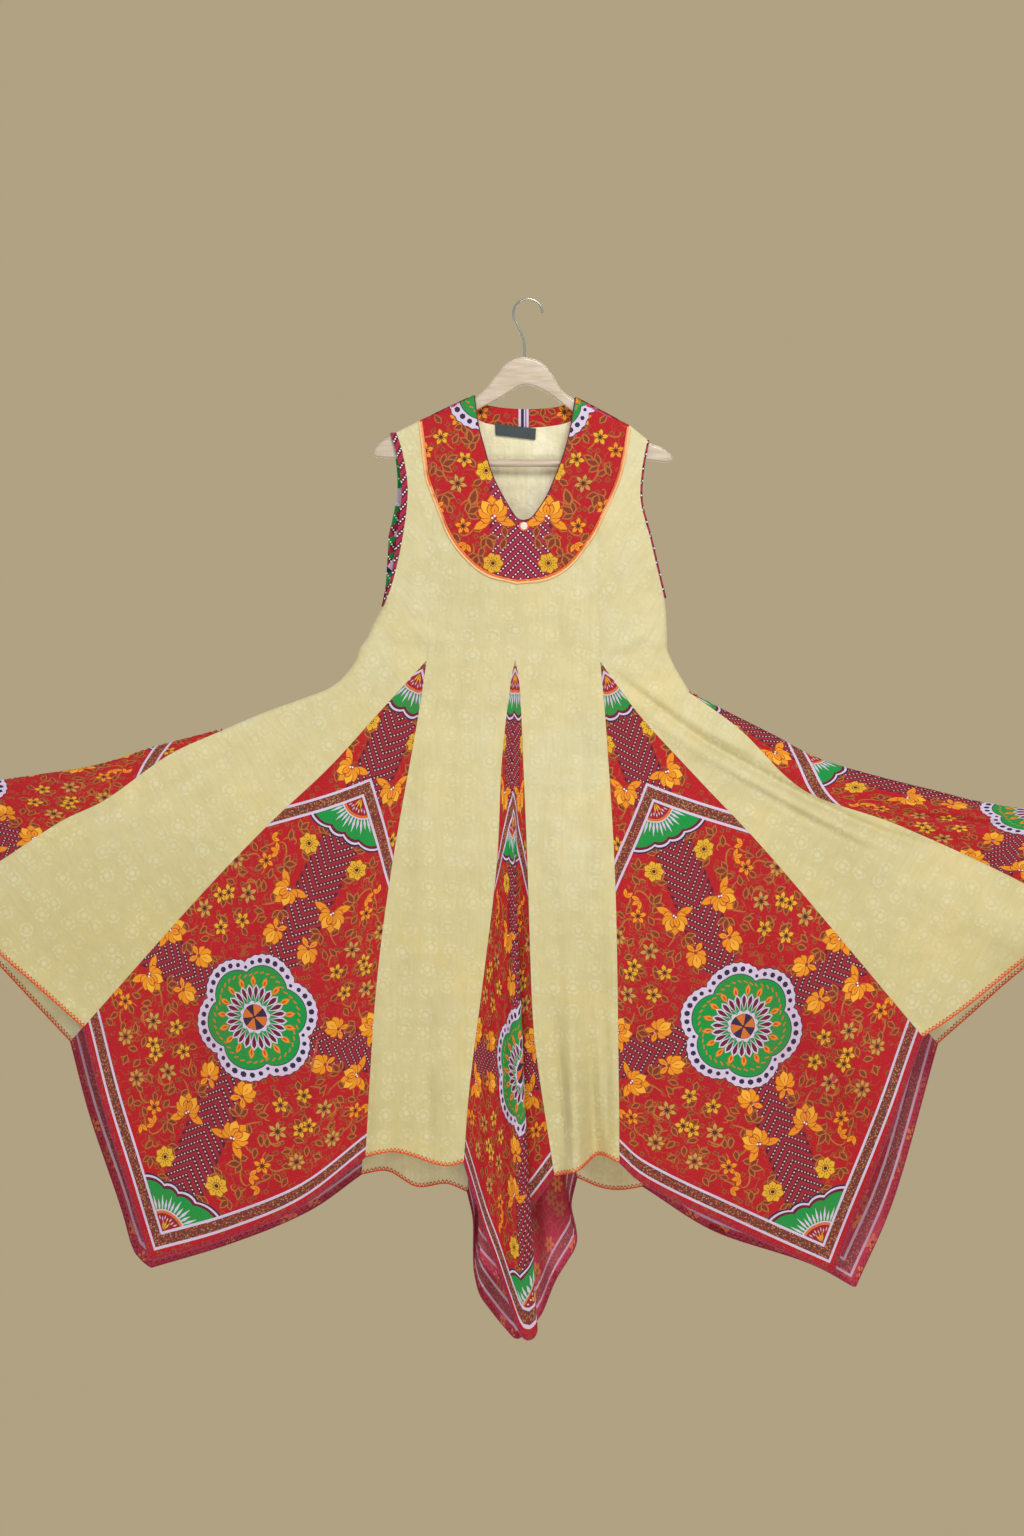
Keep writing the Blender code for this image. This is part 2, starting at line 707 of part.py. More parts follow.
def hanger_bar():
    bm = bmesh.new()
    bmesh.ops.create_cone(
        bm,
        cap_ends=True,
        segments=16,
        radius1=BAR_RADIUS,
        radius2=BAR_RADIUS,
        depth=(BAR_TO - BAR_FROM) * MM,
    )
    middle = (BAR_FROM + BAR_TO) / 2 * MM
    for v in bm.verts:
        v.co = (v.co.z + middle, v.co.y, v.co.x - BAR_DOWN * MM)
    finish("hanger_bar", bm, "wood")


def button():
    """A shank button at the neck's point, standing in front of the yoke."""
    place = np.array((NECK_POINT[0] * MM, -(NECK_POINT[1] + 8) * MM))
    y = -(half_depth("front", place) + WALL / 2 + BUTTON_THICK / 2 + 1.5 * CLEAR)
    bm = bmesh.new()
    bmesh.ops.create_uvsphere(bm, u_segments=16, v_segments=10, radius=1)
    for v in bm.verts:
        v.co = (
            place[0] + v.co.x * BUTTON_RADIUS,
            y + v.co.z * BUTTON_THICK / 2,
            place[1] + v.co.y * BUTTON_RADIUS,
        )
    finish("neck_button", bm, "pearl")


def button_loop():
    """A cord loop round the button, its ends on the yoke's neck edge."""
    centre = np.array((NECK_POINT[0] * MM, -(NECK_POINT[1] + 8) * MM))
    radius = BUTTON_RADIUS + LOOP_RADIUS + 1.2 * CLEAR
    turn = [math.radians(a) for a in range(60, -241, -20)]
    places = np.array([centre + radius * np.array((math.cos(a), math.sin(a))) for a in turn])
    out = WALL / 2 + LOOP_RADIUS + 1.5 * CLEAR
    wire("button_loop", raised("front", places, out), LOOP_RADIUS, "braid")


def material(name, red, green, blue, roughness, metallic):
    made = bpy.data.materials.new(name)
    made.use_nodes = True
    shader = made.node_tree.nodes["Principled BSDF"]
    shader.inputs["Base Color"].default_value = (red, green, blue, 1)
    shader.inputs["Roughness"].default_value = roughness
    shader.inputs["Metallic"].default_value = metallic
    made.diffuse_color = (red, green, blue, 1)
    return made


for startup in list(bpy.data.objects):
    bpy.data.objects.remove(startup)
KURTI = bpy.data.collections.new("Kurti")
bpy.context.scene.collection.children.link(KURTI)
MATERIALS = {name: material(name, *values) for name, values in COLOURS.items()}

for face in ("front", "back"):
    for side in ("left", "right"):
        side_panel(face, side)
        centre_panel(face, side)
        godet(face, side)
    centre_godet(face)
for side in ("left", "right"):
    side_godet(side)
    armhole_binding(side)
yoke()
yoke_trim()
neckband()
label()
button()
button_loop()
hanger_body()
hanger_bar()
hanger_hook()
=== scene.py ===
"""The looks of the kurti: cloth, print, sewing, hanger, light and camera.

Metres, +Z up, the front towards -Y, the origin at the hook's inner top. Left and right
are as seen from the front. Outlines repeat the part's own tables. Print pieces are drawn
flat in millimetres, as they were cut, and the cloth carries them into their folds.
"""

import math

import bmesh
import bpy
import numpy as np
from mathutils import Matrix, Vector
from mathutils.bvhtree import BVHTree
from mathutils.geometry import delaunay_2d_cdt


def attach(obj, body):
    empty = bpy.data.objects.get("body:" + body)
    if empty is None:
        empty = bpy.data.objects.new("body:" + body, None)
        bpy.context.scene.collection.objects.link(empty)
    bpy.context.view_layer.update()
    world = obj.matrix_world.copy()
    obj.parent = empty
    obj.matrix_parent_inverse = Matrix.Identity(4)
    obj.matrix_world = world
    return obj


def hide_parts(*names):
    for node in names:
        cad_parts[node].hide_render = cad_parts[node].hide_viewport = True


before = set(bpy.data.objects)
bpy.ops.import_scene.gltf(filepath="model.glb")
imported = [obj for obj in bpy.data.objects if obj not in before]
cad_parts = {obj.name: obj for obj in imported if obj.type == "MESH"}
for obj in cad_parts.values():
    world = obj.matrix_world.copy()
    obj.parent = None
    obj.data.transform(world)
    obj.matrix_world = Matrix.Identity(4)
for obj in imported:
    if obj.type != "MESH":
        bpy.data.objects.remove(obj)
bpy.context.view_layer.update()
bpy.ops.object.select_all(action="DESELECT")

MM = 0.001
WALL = 1.2 * MM

# Depth rule: cloth rounds over the hanger's arms, then opens out inside the closed edges
EDGE = 0.8 * MM
ARM_ROUND = 8.0 * MM
OPENING_RUN = 130 * MM
CREASE_RUN = 28 * MM  # creases grow up to their full height over about this width of cloth
FOLDED = 1.6  # how much higher the folds are in open cloth than in their list
FOLD_START = 0.35  # share of its width that a fold has where it starts
HALF_DEPTH = [  # down, half of the depth between front and back
    (140, 14), (300, 24), (520, 23), (800, 32), (1300, 40), (1550, 36),
]

# Outlines seen from the front, in mm from the hook's inner top: across, down
SHOULDER = {
    "left": [(-80, 141), (-112, 158), (-160, 179), (-196, 197)],
    "right": [(71, 144), (104, 165), (150, 186), (178, 208)],
}
BACK_SEAM_AT = {"left": (-138, 169), "right": (127, 175)}
NECK = {
    "left": [(-80, 141), (-73, 188), (-64, 222), (-54, 257), (-40, 287), (-18, 323)],
    "right": [(71, 144), (62, 195), (53, 229), (44, 253), (28, 291), (7, 322)],
}
NECK_POINT = (-6, 328)
YOKE_UPPER = {
    "left": [(-160, 179), (-156, 209), (-150, 260), (-141, 288)],
    "right": [(150, 186), (142, 236), (130, 277), (105, 332)],
}
YOKE_LOWER = {
    "left": [(-141, 288), (-116, 349), (-88, 386), (-58, 408), (-16, 419)],
    "right": [(105, 332), (92, 355), (62, 393), (28, 413), (-16, 419)],
}
ARMHOLE = {
    "left": [(-195, 197), (-185, 231), (-178, 283), (-185, 349), (-200, 417), (-214, 454)],
    "right": [(177, 208), (169, 252), (167, 300), (181, 355), (195, 414), (202, 442)],
}
SIDE = {
    "left": [(-214, 454), (-228, 478), (-240, 504), (-251, 519)],
    "right": [(202, 442), (205, 476), (206, 519)],
}
WING_TUCK = {  # where the side godet is tucked inside
    "left": [(-251, 519), (-258, 540), (-289, 573), (-335, 592), (-393, 613), (-454, 639)],
    "right": [(206, 519), (217, 544), (240, 583)],
}
WING_TOP = {  # from there to the hem, sewn to the side godet
    "left": [(-454, 639), (-534, 676), (-624, 740), (-693, 774), (-783, 833), (-871, 890)],
    "right": [(240, 583), (316, 639), (409, 727), (549, 779), (711, 853), (819, 914)],
}
SIDE_FOLD = {
    "left": [(-454, 636), (-556, 663), (-647, 691), (-783, 712), (-1015, 748), (-1246, 783)],
    "right": [(240, 580), (279, 602), (362, 644), (445, 685), (601, 727), (736, 755), (1193, 816)],
}
PRINCESS = {
    "left": [(-141, 288), (-144, 386), (-150, 535)],
    "right": [(105, 332), (104, 430), (107, 537)],
}
BACK_PRINCESS = {
    "left": [(-138, 169), (-143, 340), (-150, 535)],
    "right": [(127, 175), (112, 340), (107, 537)],
}
OUTER_SEAM = {
    "left": [(-150, 535), (-214, 605), (-295, 694), (-389, 783), (-491, 890), (-657, 1077)],
    "right": [(107, 537), (166, 617), (254, 713), (340, 804), (427, 905), (583, 1091)],
}
INNER_SEAM = {
    "left": [(-150, 535), (-165, 633), (-202, 844), (-225, 1028), (-240, 1268)],
    "right": [(107, 537), (116, 643), (129, 868), (134, 1161), (135, 1276)],
}
CENTRE_FRONT = [(-16, 419), (-19, 533)]
CENTRE_BACK = [(-6, 189), (-10, 340), (-19, 533)]
CENTRE_SEAM = {
    "left": [(-19, 533), (-27, 578), (-39, 688), (-46, 835), (-65, 997), (-86, 1161), (-95, 1276)],
    "right": [(-19, 533), (-12, 578), (-7, 688), (-1, 835), (6, 1044), (15, 1138), (39, 1296)],
}
HEM = {  # from each wing's tip towards the centre, corner to corner
    "left": {
        "wing": [(-871, 890), (-743, 1001), (-657, 1077)],
        "godet outer": [(-657, 1077), (-620, 1221), (-558, 1421)],
        "godet inner": [(-558, 1421), (-452, 1391), (-340, 1344), (-240, 1268)],
        "centre": [(-240, 1268), (-217, 1262), (-188, 1262), (-127, 1281), (-95, 1276)],
    },
    "right": {
        "wing": [(819, 914), (736, 976), (645, 1049), (583, 1091)],
        "godet outer": [(583, 1091), (522, 1261), (451, 1440)],
        "godet inner": [(451, 1440), (314, 1378), (178, 1312), (135, 1276)],
        "centre": [(135, 1276), (104, 1266), (76, 1286), (39, 1296)],
    },
}
BACK_HEM = {
    "left": {
        "wing": [(-868, 908), (-783, 993), (-681, 1101)],
        "godet outer": [(-681, 1101), (-651, 1215), (-604, 1351), (-585, 1412), (-561, 1437)],
        "godet inner": [(-561, 1437), (-452, 1405), (-331, 1357), (-248, 1299)],
        "centre": [(-248, 1299), (-208, 1294), (-165, 1317), (-122, 1313), (-90, 1325)],
    },
    "right": {
        "wing": [(822, 929), (736, 992), (662, 1058), (610, 1104)],
        "godet outer": [(610, 1104), (544, 1339), (488, 1468)],
        "godet inner": [(488, 1468), (418, 1431), (277, 1382), (171, 1317)],
        "centre": [(171, 1317), (138, 1323), (110, 1320), (73, 1304)],
    },
}
BAND_TOP = [(-80, 141), (-61, 155), (-6, 161), (47, 157), (71, 144)]
BAND_FOOT = [(-98, 150), (-74, 177), (-47, 185), (-6, 189), (28, 187), (64, 179), (89, 154)]
BINDING_OUT = {  # down, how far the armhole binding reaches past the panels
    "left": {
        "front": [(190, 9), (349, 9), (400, 5), (454, 3)],
        "back": [(190, 9), (260, 14), (349, 22), (400, 14), (454, 3)],
    },
    "right": {"front": [(190, 3), (454, 3)], "back": [(190, 3), (454, 3)]},
}

# Centre godets folded across, a row for each fold: share of the cloth, place between the
# seams, mm behind them, and the hem there (across, down)
CENTRE_PLEATS = {
    "front": [
        (0.00, 0.00, 0.0, -95, 1276),
        (0.10, 0.17, 12.0, -78, 1332),
        (0.20, 0.36, 1.0, -60, 1391),
        (0.30, 0.55, 13.0, -42, 1440),
        (0.40, 0.75, 1.0, -22, 1500),
        (0.47, 0.88, -1.0, -5, 1549),
        (0.50, 0.90, 2.0, 20, 1531),
        (0.54, 0.82, 6.0, 8, 1505),
        (0.66, 0.42, 17.0, -40, 1455),
        (0.75, 0.13, 20.0, -74, 1420),
        (0.77, 0.11, 22.5, -77, 1410),
        (0.79, 0.15, 25.0, -73, 1402),
        (0.90, 0.70, 17.0, -2, 1352),
        (1.00, 1.00, 0.0, 39, 1296),
    ],
    "back": [
        (0.00, 0.00, 0.0, -90, 1325),
        (0.09, 0.10, 8.0, -80, 1366),
        (0.18, 0.17, -6.0, -81, 1440),
        (0.28, 0.29, 15.0, -72, 1478),
        (0.38, 0.38, -7.0, -45, 1515),
        (0.50, 0.50, 13.0, -16, 1547),
        (0.62, 0.62, -7.0, 20, 1510),
        (0.72, 0.72, 15.0, 40, 1455),
        (0.82, 0.81, -6.0, 76, 1402),
        (0.91, 0.90, 8.0, 62, 1346),
        (1.00, 1.00, 0.0, 73, 1304),
    ],
}
PLEAT_FROM, PLEAT_FULL = 0.18, 0.75  # share of the godet's length

# Soft folds that run out towards the hem: start, end, half width and height at the end, mm
FOLDS = {
    "front": [
        (114, 545, 640, 826, 26, -9),
        (130, 590, 600, 872, 34, 8),
        (-262, 540, -760, 840, 30, -7),
        (-200, 590, -700, 930, 36, 6),
        (-215, 700, -330, 1350, 44, 7),
        (-290, 760, -560, 1240, 52, -9),
        (58, 900, 70, 1290, 15, 15),
        (86, 1000, 100, 1262, 13, -13),
        (-150, 900, -165, 1270, 26, -8),
        (-205, 900, -222, 1270, 20, 6),
        (170, 800, 240, 1340, 46, 7),
        (250, 760, 430, 1250, 50, -9),
        (330, 880, 545, 1210, 46, 7),
        (-150, 420, -152, 530, 16, 3),
        (104, 430, 108, 540, 16, 3),
    ],
    "back": [
        (-240, 600, -760, 960, 50, 10),
        (-210, 720, -520, 1290, 60, -12),
        (-190, 800, -330, 1360, 46, 11),
        (-150, 850, -170, 1310, 30, -10),
        (110, 850, 125, 1320, 26, 10),
        (150, 800, 280, 1380, 48, -12),
        (230, 760, 480, 1320, 56, 11),
        (260, 650, 740, 980, 46, -9),
        (-60, 300, -80, 530, 40, 5),
        (50, 300, 60, 530, 40, 5),
    ],
}


# Finer creases of the worn cloth, each along a line: face, half width, height, places (across, down)
CREASES = [
    ("front", 7, -9, [(112, 545), (166, 585), (254, 650), (340, 698), (427, 744), (515, 785), (623, 819)]),
    ("front", 13, 7, [(120, 562), (180, 612), (262, 674), (345, 722), (432, 768), (520, 808), (600, 836)]),
    ("front", 7, 5, [(150, 560), (260, 634), (350, 680), (440, 722)]),
    ("front", 7, -4.5, [(250, 676), (350, 733), (440, 782), (520, 822)]),
    ("front", 5, -5, [(530, 757), (600, 768), (670, 776), (740, 782)]),
    ("front", 9, 3.5, [(540, 775), (610, 786), (700, 796)]),
    ("front", 10, -3.5, [(-270, 560), (-380, 640), (-520, 720), (-640, 770)]),
    ("front", 12, 3, [(-255, 585), (-360, 680), (-500, 780), (-600, 840)]),
    ("front", 9, -2.5, [(-235, 620), (-320, 740), (-430, 860)]),
    ("front", 10, 2.5, [(-180, 560), (-300, 700), (-420, 800), (-560, 900)]),
    ("front", 7, -2.5, [(-40, 700), (-58, 900), (-80, 1100), (-88, 1250)]),
    ("front", 8, 3, [(-190, 1090), (-196, 1180), (-205, 1262)]),
    ("front", 6, -4, [(-150, 1120), (-146, 1190), (-150, 1275)]),
    ("front", 8, 4, [(-165, 1150), (-166, 1210), (-172, 1268)]),
    ("front", 7, 3, [(-112, 1100), (-110, 1190), (-112, 1278)]),
    ("front", 5, -6, [(30, 1010), (44, 1120), (62, 1285)]),
    ("front", 6, -5, [(112, 1050), (116, 1150), (120, 1270)]),
    ("front", 9, 3, [(40, 760), (52, 900), (64, 1010)]),
    ("front", 9, -3, [(78, 620), (86, 760), (92, 900)]),
    ("front", 12, 2, [(-120, 560), (-140, 700), (-160, 860)]),
    ("front", 8, 2, [(-190, 470), (-150, 500), (-100, 516)]),
    ("front", 9, -2, [(-228, 488), (-190, 512), (-130, 530)]),
    ("front", 8, 2.2, [(196, 470), (160, 500), (110, 520)]),
    ("front", 9, -2, [(204, 500), (150, 528), (90, 545)]),
    ("front", 12, 2.2, [(160, 300), (150, 390), (142, 470)]),
    ("front", 10, 1.8, [(-170, 330), (-166, 400), (-176, 460)]),
    ("front", 14, 2, [(-60, 430), (-70, 500), (-84, 590)]),
    ("front", 13, -2, [(40, 430), (46, 520), (44, 620)]),
    ("front", 9, 2.5, [(240, 850), (300, 1010), (330, 1180), (380, 1330)]),
    ("front", 10, -2.5, [(420, 980), (450, 1120), (455, 1260)]),
    ("front", 11, 2.5, [(-330, 820), (-400, 960), (-470, 1120), (-530, 1260)]),
    ("front", 10, -2.5, [(-260, 900), (-300, 1060), (-350, 1240)]),
    ("front", 9, 2.5, [(-480, 1180), (-430, 1260), (-400, 1340)]),
    ("front", 8, -4, [(-760, 760), (-900, 792), (-1060, 812)]),
    ("front", 9, 3.5, [(-620, 730), (-760, 752), (-920, 776)]),
    ("front", 8, -3.5, [(760, 800), (900, 826), (1050, 840)]),
    ("back", 9, 3, [(-150, 230), (-60, 250), (40, 250), (120, 235)]),
    ("back", 8, -2.5, [(-140, 300), (-80, 330), (-20, 350)]),
    ("back", 10, -4, [(-220, 580), (-380, 720), (-560, 860), (-700, 950)]),
    ("back", 12, 4, [(-200, 640), (-330, 800), (-470, 960)]),
    ("back", 10, -4, [(180, 570), (340, 690), (520, 800), (680, 880)]),
    ("back", 12, 4, [(170, 620), (310, 760), (450, 900), (560, 1010)]),
    ("back", 9, -3.5, [(-180, 820), (-200, 1000), (-220, 1200)]),
    ("back", 9, 3.5, [(-130, 800), (-150, 1000), (-160, 1260)]),
    ("back", 9, -3, [(60, 760), (80, 960), (100, 1200)]),
    ("back", 9, 3, [(300, 880), (370, 1080), (420, 1300)]),
    ("back", 10, -3, [(-380, 900), (-460, 1120), (-520, 1300)]),
    ("back", 9, 2.5, [(-100, 460), (-20, 500), (80, 480)]),
]
CREASED = 1.35  # how much deeper the creases are in the cloth than in the list
CREASE_REACH = 60 * MM  # past this far from its line a crease isn't worked out
RIPPLES = [  # slight unevenness all over: waves in a metre across and down, height in mm
    (9.0, 4.0, 0.6),
    (-6.0, 11.0, 0.6),
    (21.0, 7.0, 0.5),
    (13.0, -24.0, 0.45),
    (34.0, 19.0, 0.3),
    (61.0, -17.0, 0.2),
]

SEAM_GAP = 0.06 * MM
BINDING_GAP = 0.3 * MM  # between the armhole's edge and its binding
NARROWEST = 0.01  # metres: the least width given to a flat sheet's size
SKIRT_ROWS = 84
BODY_ROWS, ARMHOLE_ROWS, YOKE_ROWS = 58, 44, 29  # above the skirt; so many along each edge
EDGE_COLUMNS = [0, 0.003, 0.008, 0.016, 0.028, 0.045]  # shares of a side panel's width
PANEL_COLUMNS = {"front": 50, "back": 26}  # evenly spaced, past the ones at the edge
CENTRE_COLUMNS = 22
GODET_ROWS, GODET_COLUMNS, CENTRE_GODET_COLUMNS = 92, 46, 88
SIDE_GODET_COLUMNS = 30  # from seam to fold
YOKE_UPPER_ROWS, YOKE_LOWER_ROWS = 26, 36
FIRST_SKIRT_ROW = 0.009  # share of a skirt seam's length above each godet's point
FIRST_CENTRE_ROW = 0.014  # the same for the centre godets
WRONG_SIDE_STEP = 2  # every so many grid points are kept on the wrong side of a print piece
LONGEST_EDGE = 15.0  # mm: longer edges of the print get points between, to follow the folds

# The print, in mm of flat cloth. A scarf square stands on its corner.
SQUARE_AT = (0, -570)
SQUARE_OUT, SQUARE_IN, PALE_LINE = 379.0, 348.6, 5.2
TIP_CORNER = -20.8
GODET_CUT = [(0, 0), (-241.8, -721.6), (0, -964), (241.8, -721.6)]
SIDE_CUT = {"left": ((60, -172), (0, -975)), "right": ((0, -35), (0, -990))}  # fold's two ends

INKS = {  # name: red, green, blue as on a screen
    "red": (174, 14, 24),
    "deep red": (146, 22, 34),
    "pink": (158, 38, 66),
    "maroon": (96, 20, 42),
    "plum": (148, 32, 48),
    "dark plum": (82, 22, 32),
    "dusty pink": (222, 190, 184),
    "white": (246, 236, 240),
    "pale": (206, 190, 212),
    "navy": (34, 34, 62),
    "green": (4, 138, 58),
    "gold": (228, 142, 22),
    "light gold": (238, 168, 44),
    "rust": (150, 54, 18),
    "yellow": (216, 168, 38),
    "tan": (188, 148, 70),
    "brown": (110, 52, 28),
    "ochre": (172, 106, 42),
    "russet": (124, 48, 28),
    "twig": (158, 82, 36),
    "band": (106, 44, 40),
    "throat": (204, 60, 26),
    "dark": (48, 30, 34),
    "orange": (206, 108, 38),
    "serged": (150, 24, 52),
}
PATTERNED = ("band",)  # inks printed with fine specks


def linear(red, green, blue):
    """A screen colour as the shader takes it."""
    s = np.array((red, green, blue)) / 255
    return tuple(np.where(s <= 0.04045, s / 12.92, ((s + 0.055) / 1.055) ** 2.4))


def shares(count):
    return np.linspace(0, 1, count + 1)


def crowded(count, power=1.5):
    """Shares that lie closer together at the start."""
    return shares(count) ** power


def curve(points, at):
    """Places on a smooth curve through the points, at these shares of its length: x, z."""
    p = np.array(points, float) * (MM, -MM)
    p = np.vstack([2 * p[0] - p[1], p, 2 * p[-1] - p[-2]])
    t = np.linspace(0, 1, 16, endpoint=False)[:, None]
    runs = [
        b + 0.5 * t * ((c - a) + t * ((2 * a - 5 * b + 4 * c - d) + t * (3 * (b - c) + d - a)))
        for a, b, c, d in zip(p, p[1:], p[2:], p[3:])
    ]
    fine = np.vstack(runs + [p[-2:-1]])
    run = run_along(fine)
    s = np.asarray(at) * run[-1]
    return np.column_stack([np.interp(s, run, fine[:, k]) for k in (0, 1)])


def joined(*edges):
    return np.vstack([edges[0]] + [e[1:] for e in edges[1:]])


def run_along(line):
    """The length of a line from its start to each of its points."""
    return np.concatenate([[0], np.cumsum(np.linalg.norm(np.diff(line, axis=0), axis=1))])


def line_length(line):
    return np.linalg.norm(np.diff(line, axis=0), axis=1).sum()


def closed_edges():
    """The edges where front and back come together, as pairs of ends."""
    ends = []
    for side in ("left", "right"):
        shoulder = curve(SHOULDER[side], shares(16))
        flank = joined(
            curve(SIDE[side], shares(8)),
            curve(WING_TUCK[side], shares(20)),
            curve(SIDE_FOLD[side], shares(30)),
        )
        for line in (shoulder, flank):
            ends += list(zip(line[:-1], line[1:]))
    return np.array(ends)


CLOSED = closed_edges()


def nearest_on(p, ends):
    """Distance from each place to a line of pairs of ends, and which pair is nearest."""
    a, b = ends[:, 0], ends[:, 1]
    along = b - a
    reach = ((p[..., None, :] - a) * along).sum(-1) / (along**2).sum(-1)
    foot = a + np.clip(reach, 0, 1)[..., None] * along
    away = np.linalg.norm(p[..., None, :] - foot, axis=-1)
    best = away.argmin(-1)
    share = np.take_along_axis(np.clip(reach, 0, 1), best[..., None], -1)[..., 0]
    return away.min(-1), (best + share) / len(ends)


def fold_height(face, p):
    height = np.zeros(p.shape[:-1])
    for x0, down0, x1, down1, width, high in FOLDS[face]:
        a = np.array((x0, -down0)) * MM
        b = np.array((x1, -down1)) * MM
        along = b - a
        length = np.linalg.norm(along)
        t = ((p - a) @ along) / length**2
        off = ((p - a) @ (-along[1], along[0])) / length
        grown = np.clip(t, 0, 1)
        rise = grown**2 * (3 - 2 * grown)
        half = width * MM * (FOLD_START + (1 - FOLD_START) * grown)
        height += high * MM * rise * np.exp(-((off / half) ** 2))
    return height


def crease_height(face, p):
    """Creases fade out at both ends, and the ripples run all over."""
    height = np.zeros(p.shape[:-1])
    for of_face, half, high, points in CREASES:
        if of_face != face:
            continue
        line = curve(points, shares(12))
        near = np.abs(p - line.mean(0)).max(-1) < np.ptp(line, axis=0).max() / 2 + CREASE_REACH
        if not near.any():
            continue
        away, along = nearest_on(p[near], np.stack([line[:-1], line[1:]], axis=1))
        fade = np.sin(np.pi * np.clip(along, 0.001, 0.999)) ** 0.7
        height[near] += CREASED * high * MM * fade * np.exp(-((away / (half * MM)) ** 2))
    turn = 0.0
    for across, down, high in RIPPLES:
        turn += 1.3
        shift = 0.8 * np.sin(p[..., 0] * 7 + p[..., 1] * 5 + turn)
        height += high * MM * np.sin(across * p[..., 0] + down * p[..., 1] + turn + shift)
    return height


def half_depth(face, p):
    """How far the cloth's middle lies from the middle plane at the places p: x, z."""
    d, _ = nearest_on(p, CLOSED)
    down, deep = np.array(HALF_DEPTH).T * MM
    full = np.interp(-p[..., 1], down, deep)
    near = 1 - np.clip(d / ARM_ROUND, 0, 1)
    opened = 1 - np.exp(-d / OPENING_RUN)
    round_part = ARM_ROUND * np.sqrt(1 - near**2)
    folds = fold_height(face, p) * FOLDED * opened
    creases = crease_height(face, p) * (1 - np.exp(-d / CREASE_RUN))
    return EDGE + round_part + opened * (full - ARM_ROUND) + folds + creases


def raised(face, p, out=0.0):
    """The places p as points of the cloth, x, y, z, moved out from its middle."""
    y = half_depth(face, p) + out
    sign = -1 if face == "front" else 1
    return np.stack([p[..., 0], sign * y, p[..., 1]], axis=-1)


def patch(top, foot, left, right, across=None):
    """A grid of x, z places between four edges that meet at their ends."""
    rows, cols = len(left), len(top)
    v = shares(rows - 1)[:, None, None]
    u = (shares(cols - 1) if across is None else np.array(across))[None, :, None]
    between_sides = (1 - u) * left[:, None] + u * right[:, None]
    between_ends = (1 - v) * top[None] + v * foot[None]
    corners = (1 - u) * ((1 - v) * top[0] + v * foot[0]) + u * ((1 - v) * top[-1] + v * foot[-1])
    return between_sides + between_ends - corners


def inset(grid, amount=SEAM_GAP):
    """The grid with its edges drawn in, which leaves the gap at a seam."""
    g = grid.copy()
    for axis in (0, 1):
        g = np.swapaxes(g, 0, axis)
        for edge, inner in ((0, 1), (-1, -2)):
            step = g[inner] - g[edge]
            length = np.maximum(np.linalg.norm(step, axis=-1, keepdims=True), 1e-9)
            g[edge] = g[edge] + step * np.minimum(amount / length, 0.4)
        g = np.swapaxes(g, 0, axis)
    return g


def outward(grid, ring=False, columns=None):
    """Unit normals of a grid, towards the side that its first columns face."""
    down = np.roll(grid, -1, 0) - np.roll(grid, 1, 0) if ring else np.gradient(grid, axis=0)
    n = np.cross(np.gradient(grid, axis=1), down)
    n /= np.maximum(np.linalg.norm(n, axis=-1, keepdims=True), 1e-12)
    part = slice(0, columns)
    facing = np.sign((n[:, part, 1] * np.sign(grid[:, part, 1])).sum())
    return n * (facing or 1)


# Building meshes


def piece(name, verts, faces, materials, slots=None, uvs=None, inks=None, normals=None):
    """A mesh object of triangles or quads, with its cloth map and its printed colours."""
    name = name.replace(" ", "_")
    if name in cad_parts:
        name += "_cloth"
    mesh = bpy.data.meshes.new(name)
    mesh.from_pydata([tuple(v) for v in verts], [], [tuple(f) for f in faces])
    loops = np.empty(len(mesh.loops), np.int32)
    mesh.loops.foreach_get("vertex_index", loops)
    if uvs is not None:
        layer = mesh.uv_layers.new(name="Cloth")
        layer.data.foreach_set("uv", np.asarray(uvs, np.float32)[loops].ravel())
    if inks is not None:
        sizes = np.array([len(f) for f in faces])
        layer = mesh.color_attributes.new("Print", "FLOAT_COLOR", "CORNER")
        layer.data.foreach_set("color", np.repeat(inks, sizes, axis=0).astype(np.float32).ravel())
    for made in materials:
        mesh.materials.append(made)
    if slots is not None:
        mesh.polygons.foreach_set("material_index", np.asarray(slots, np.int32))
    mesh.shade_smooth()
    if normals is not None:
        mesh.normals_split_custom_set_from_vertices([tuple(n) for n in normals])
    obj = bpy.data.objects.new(name, mesh)
    bpy.context.scene.collection.objects.link(obj)
    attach(obj, "root")
    return obj


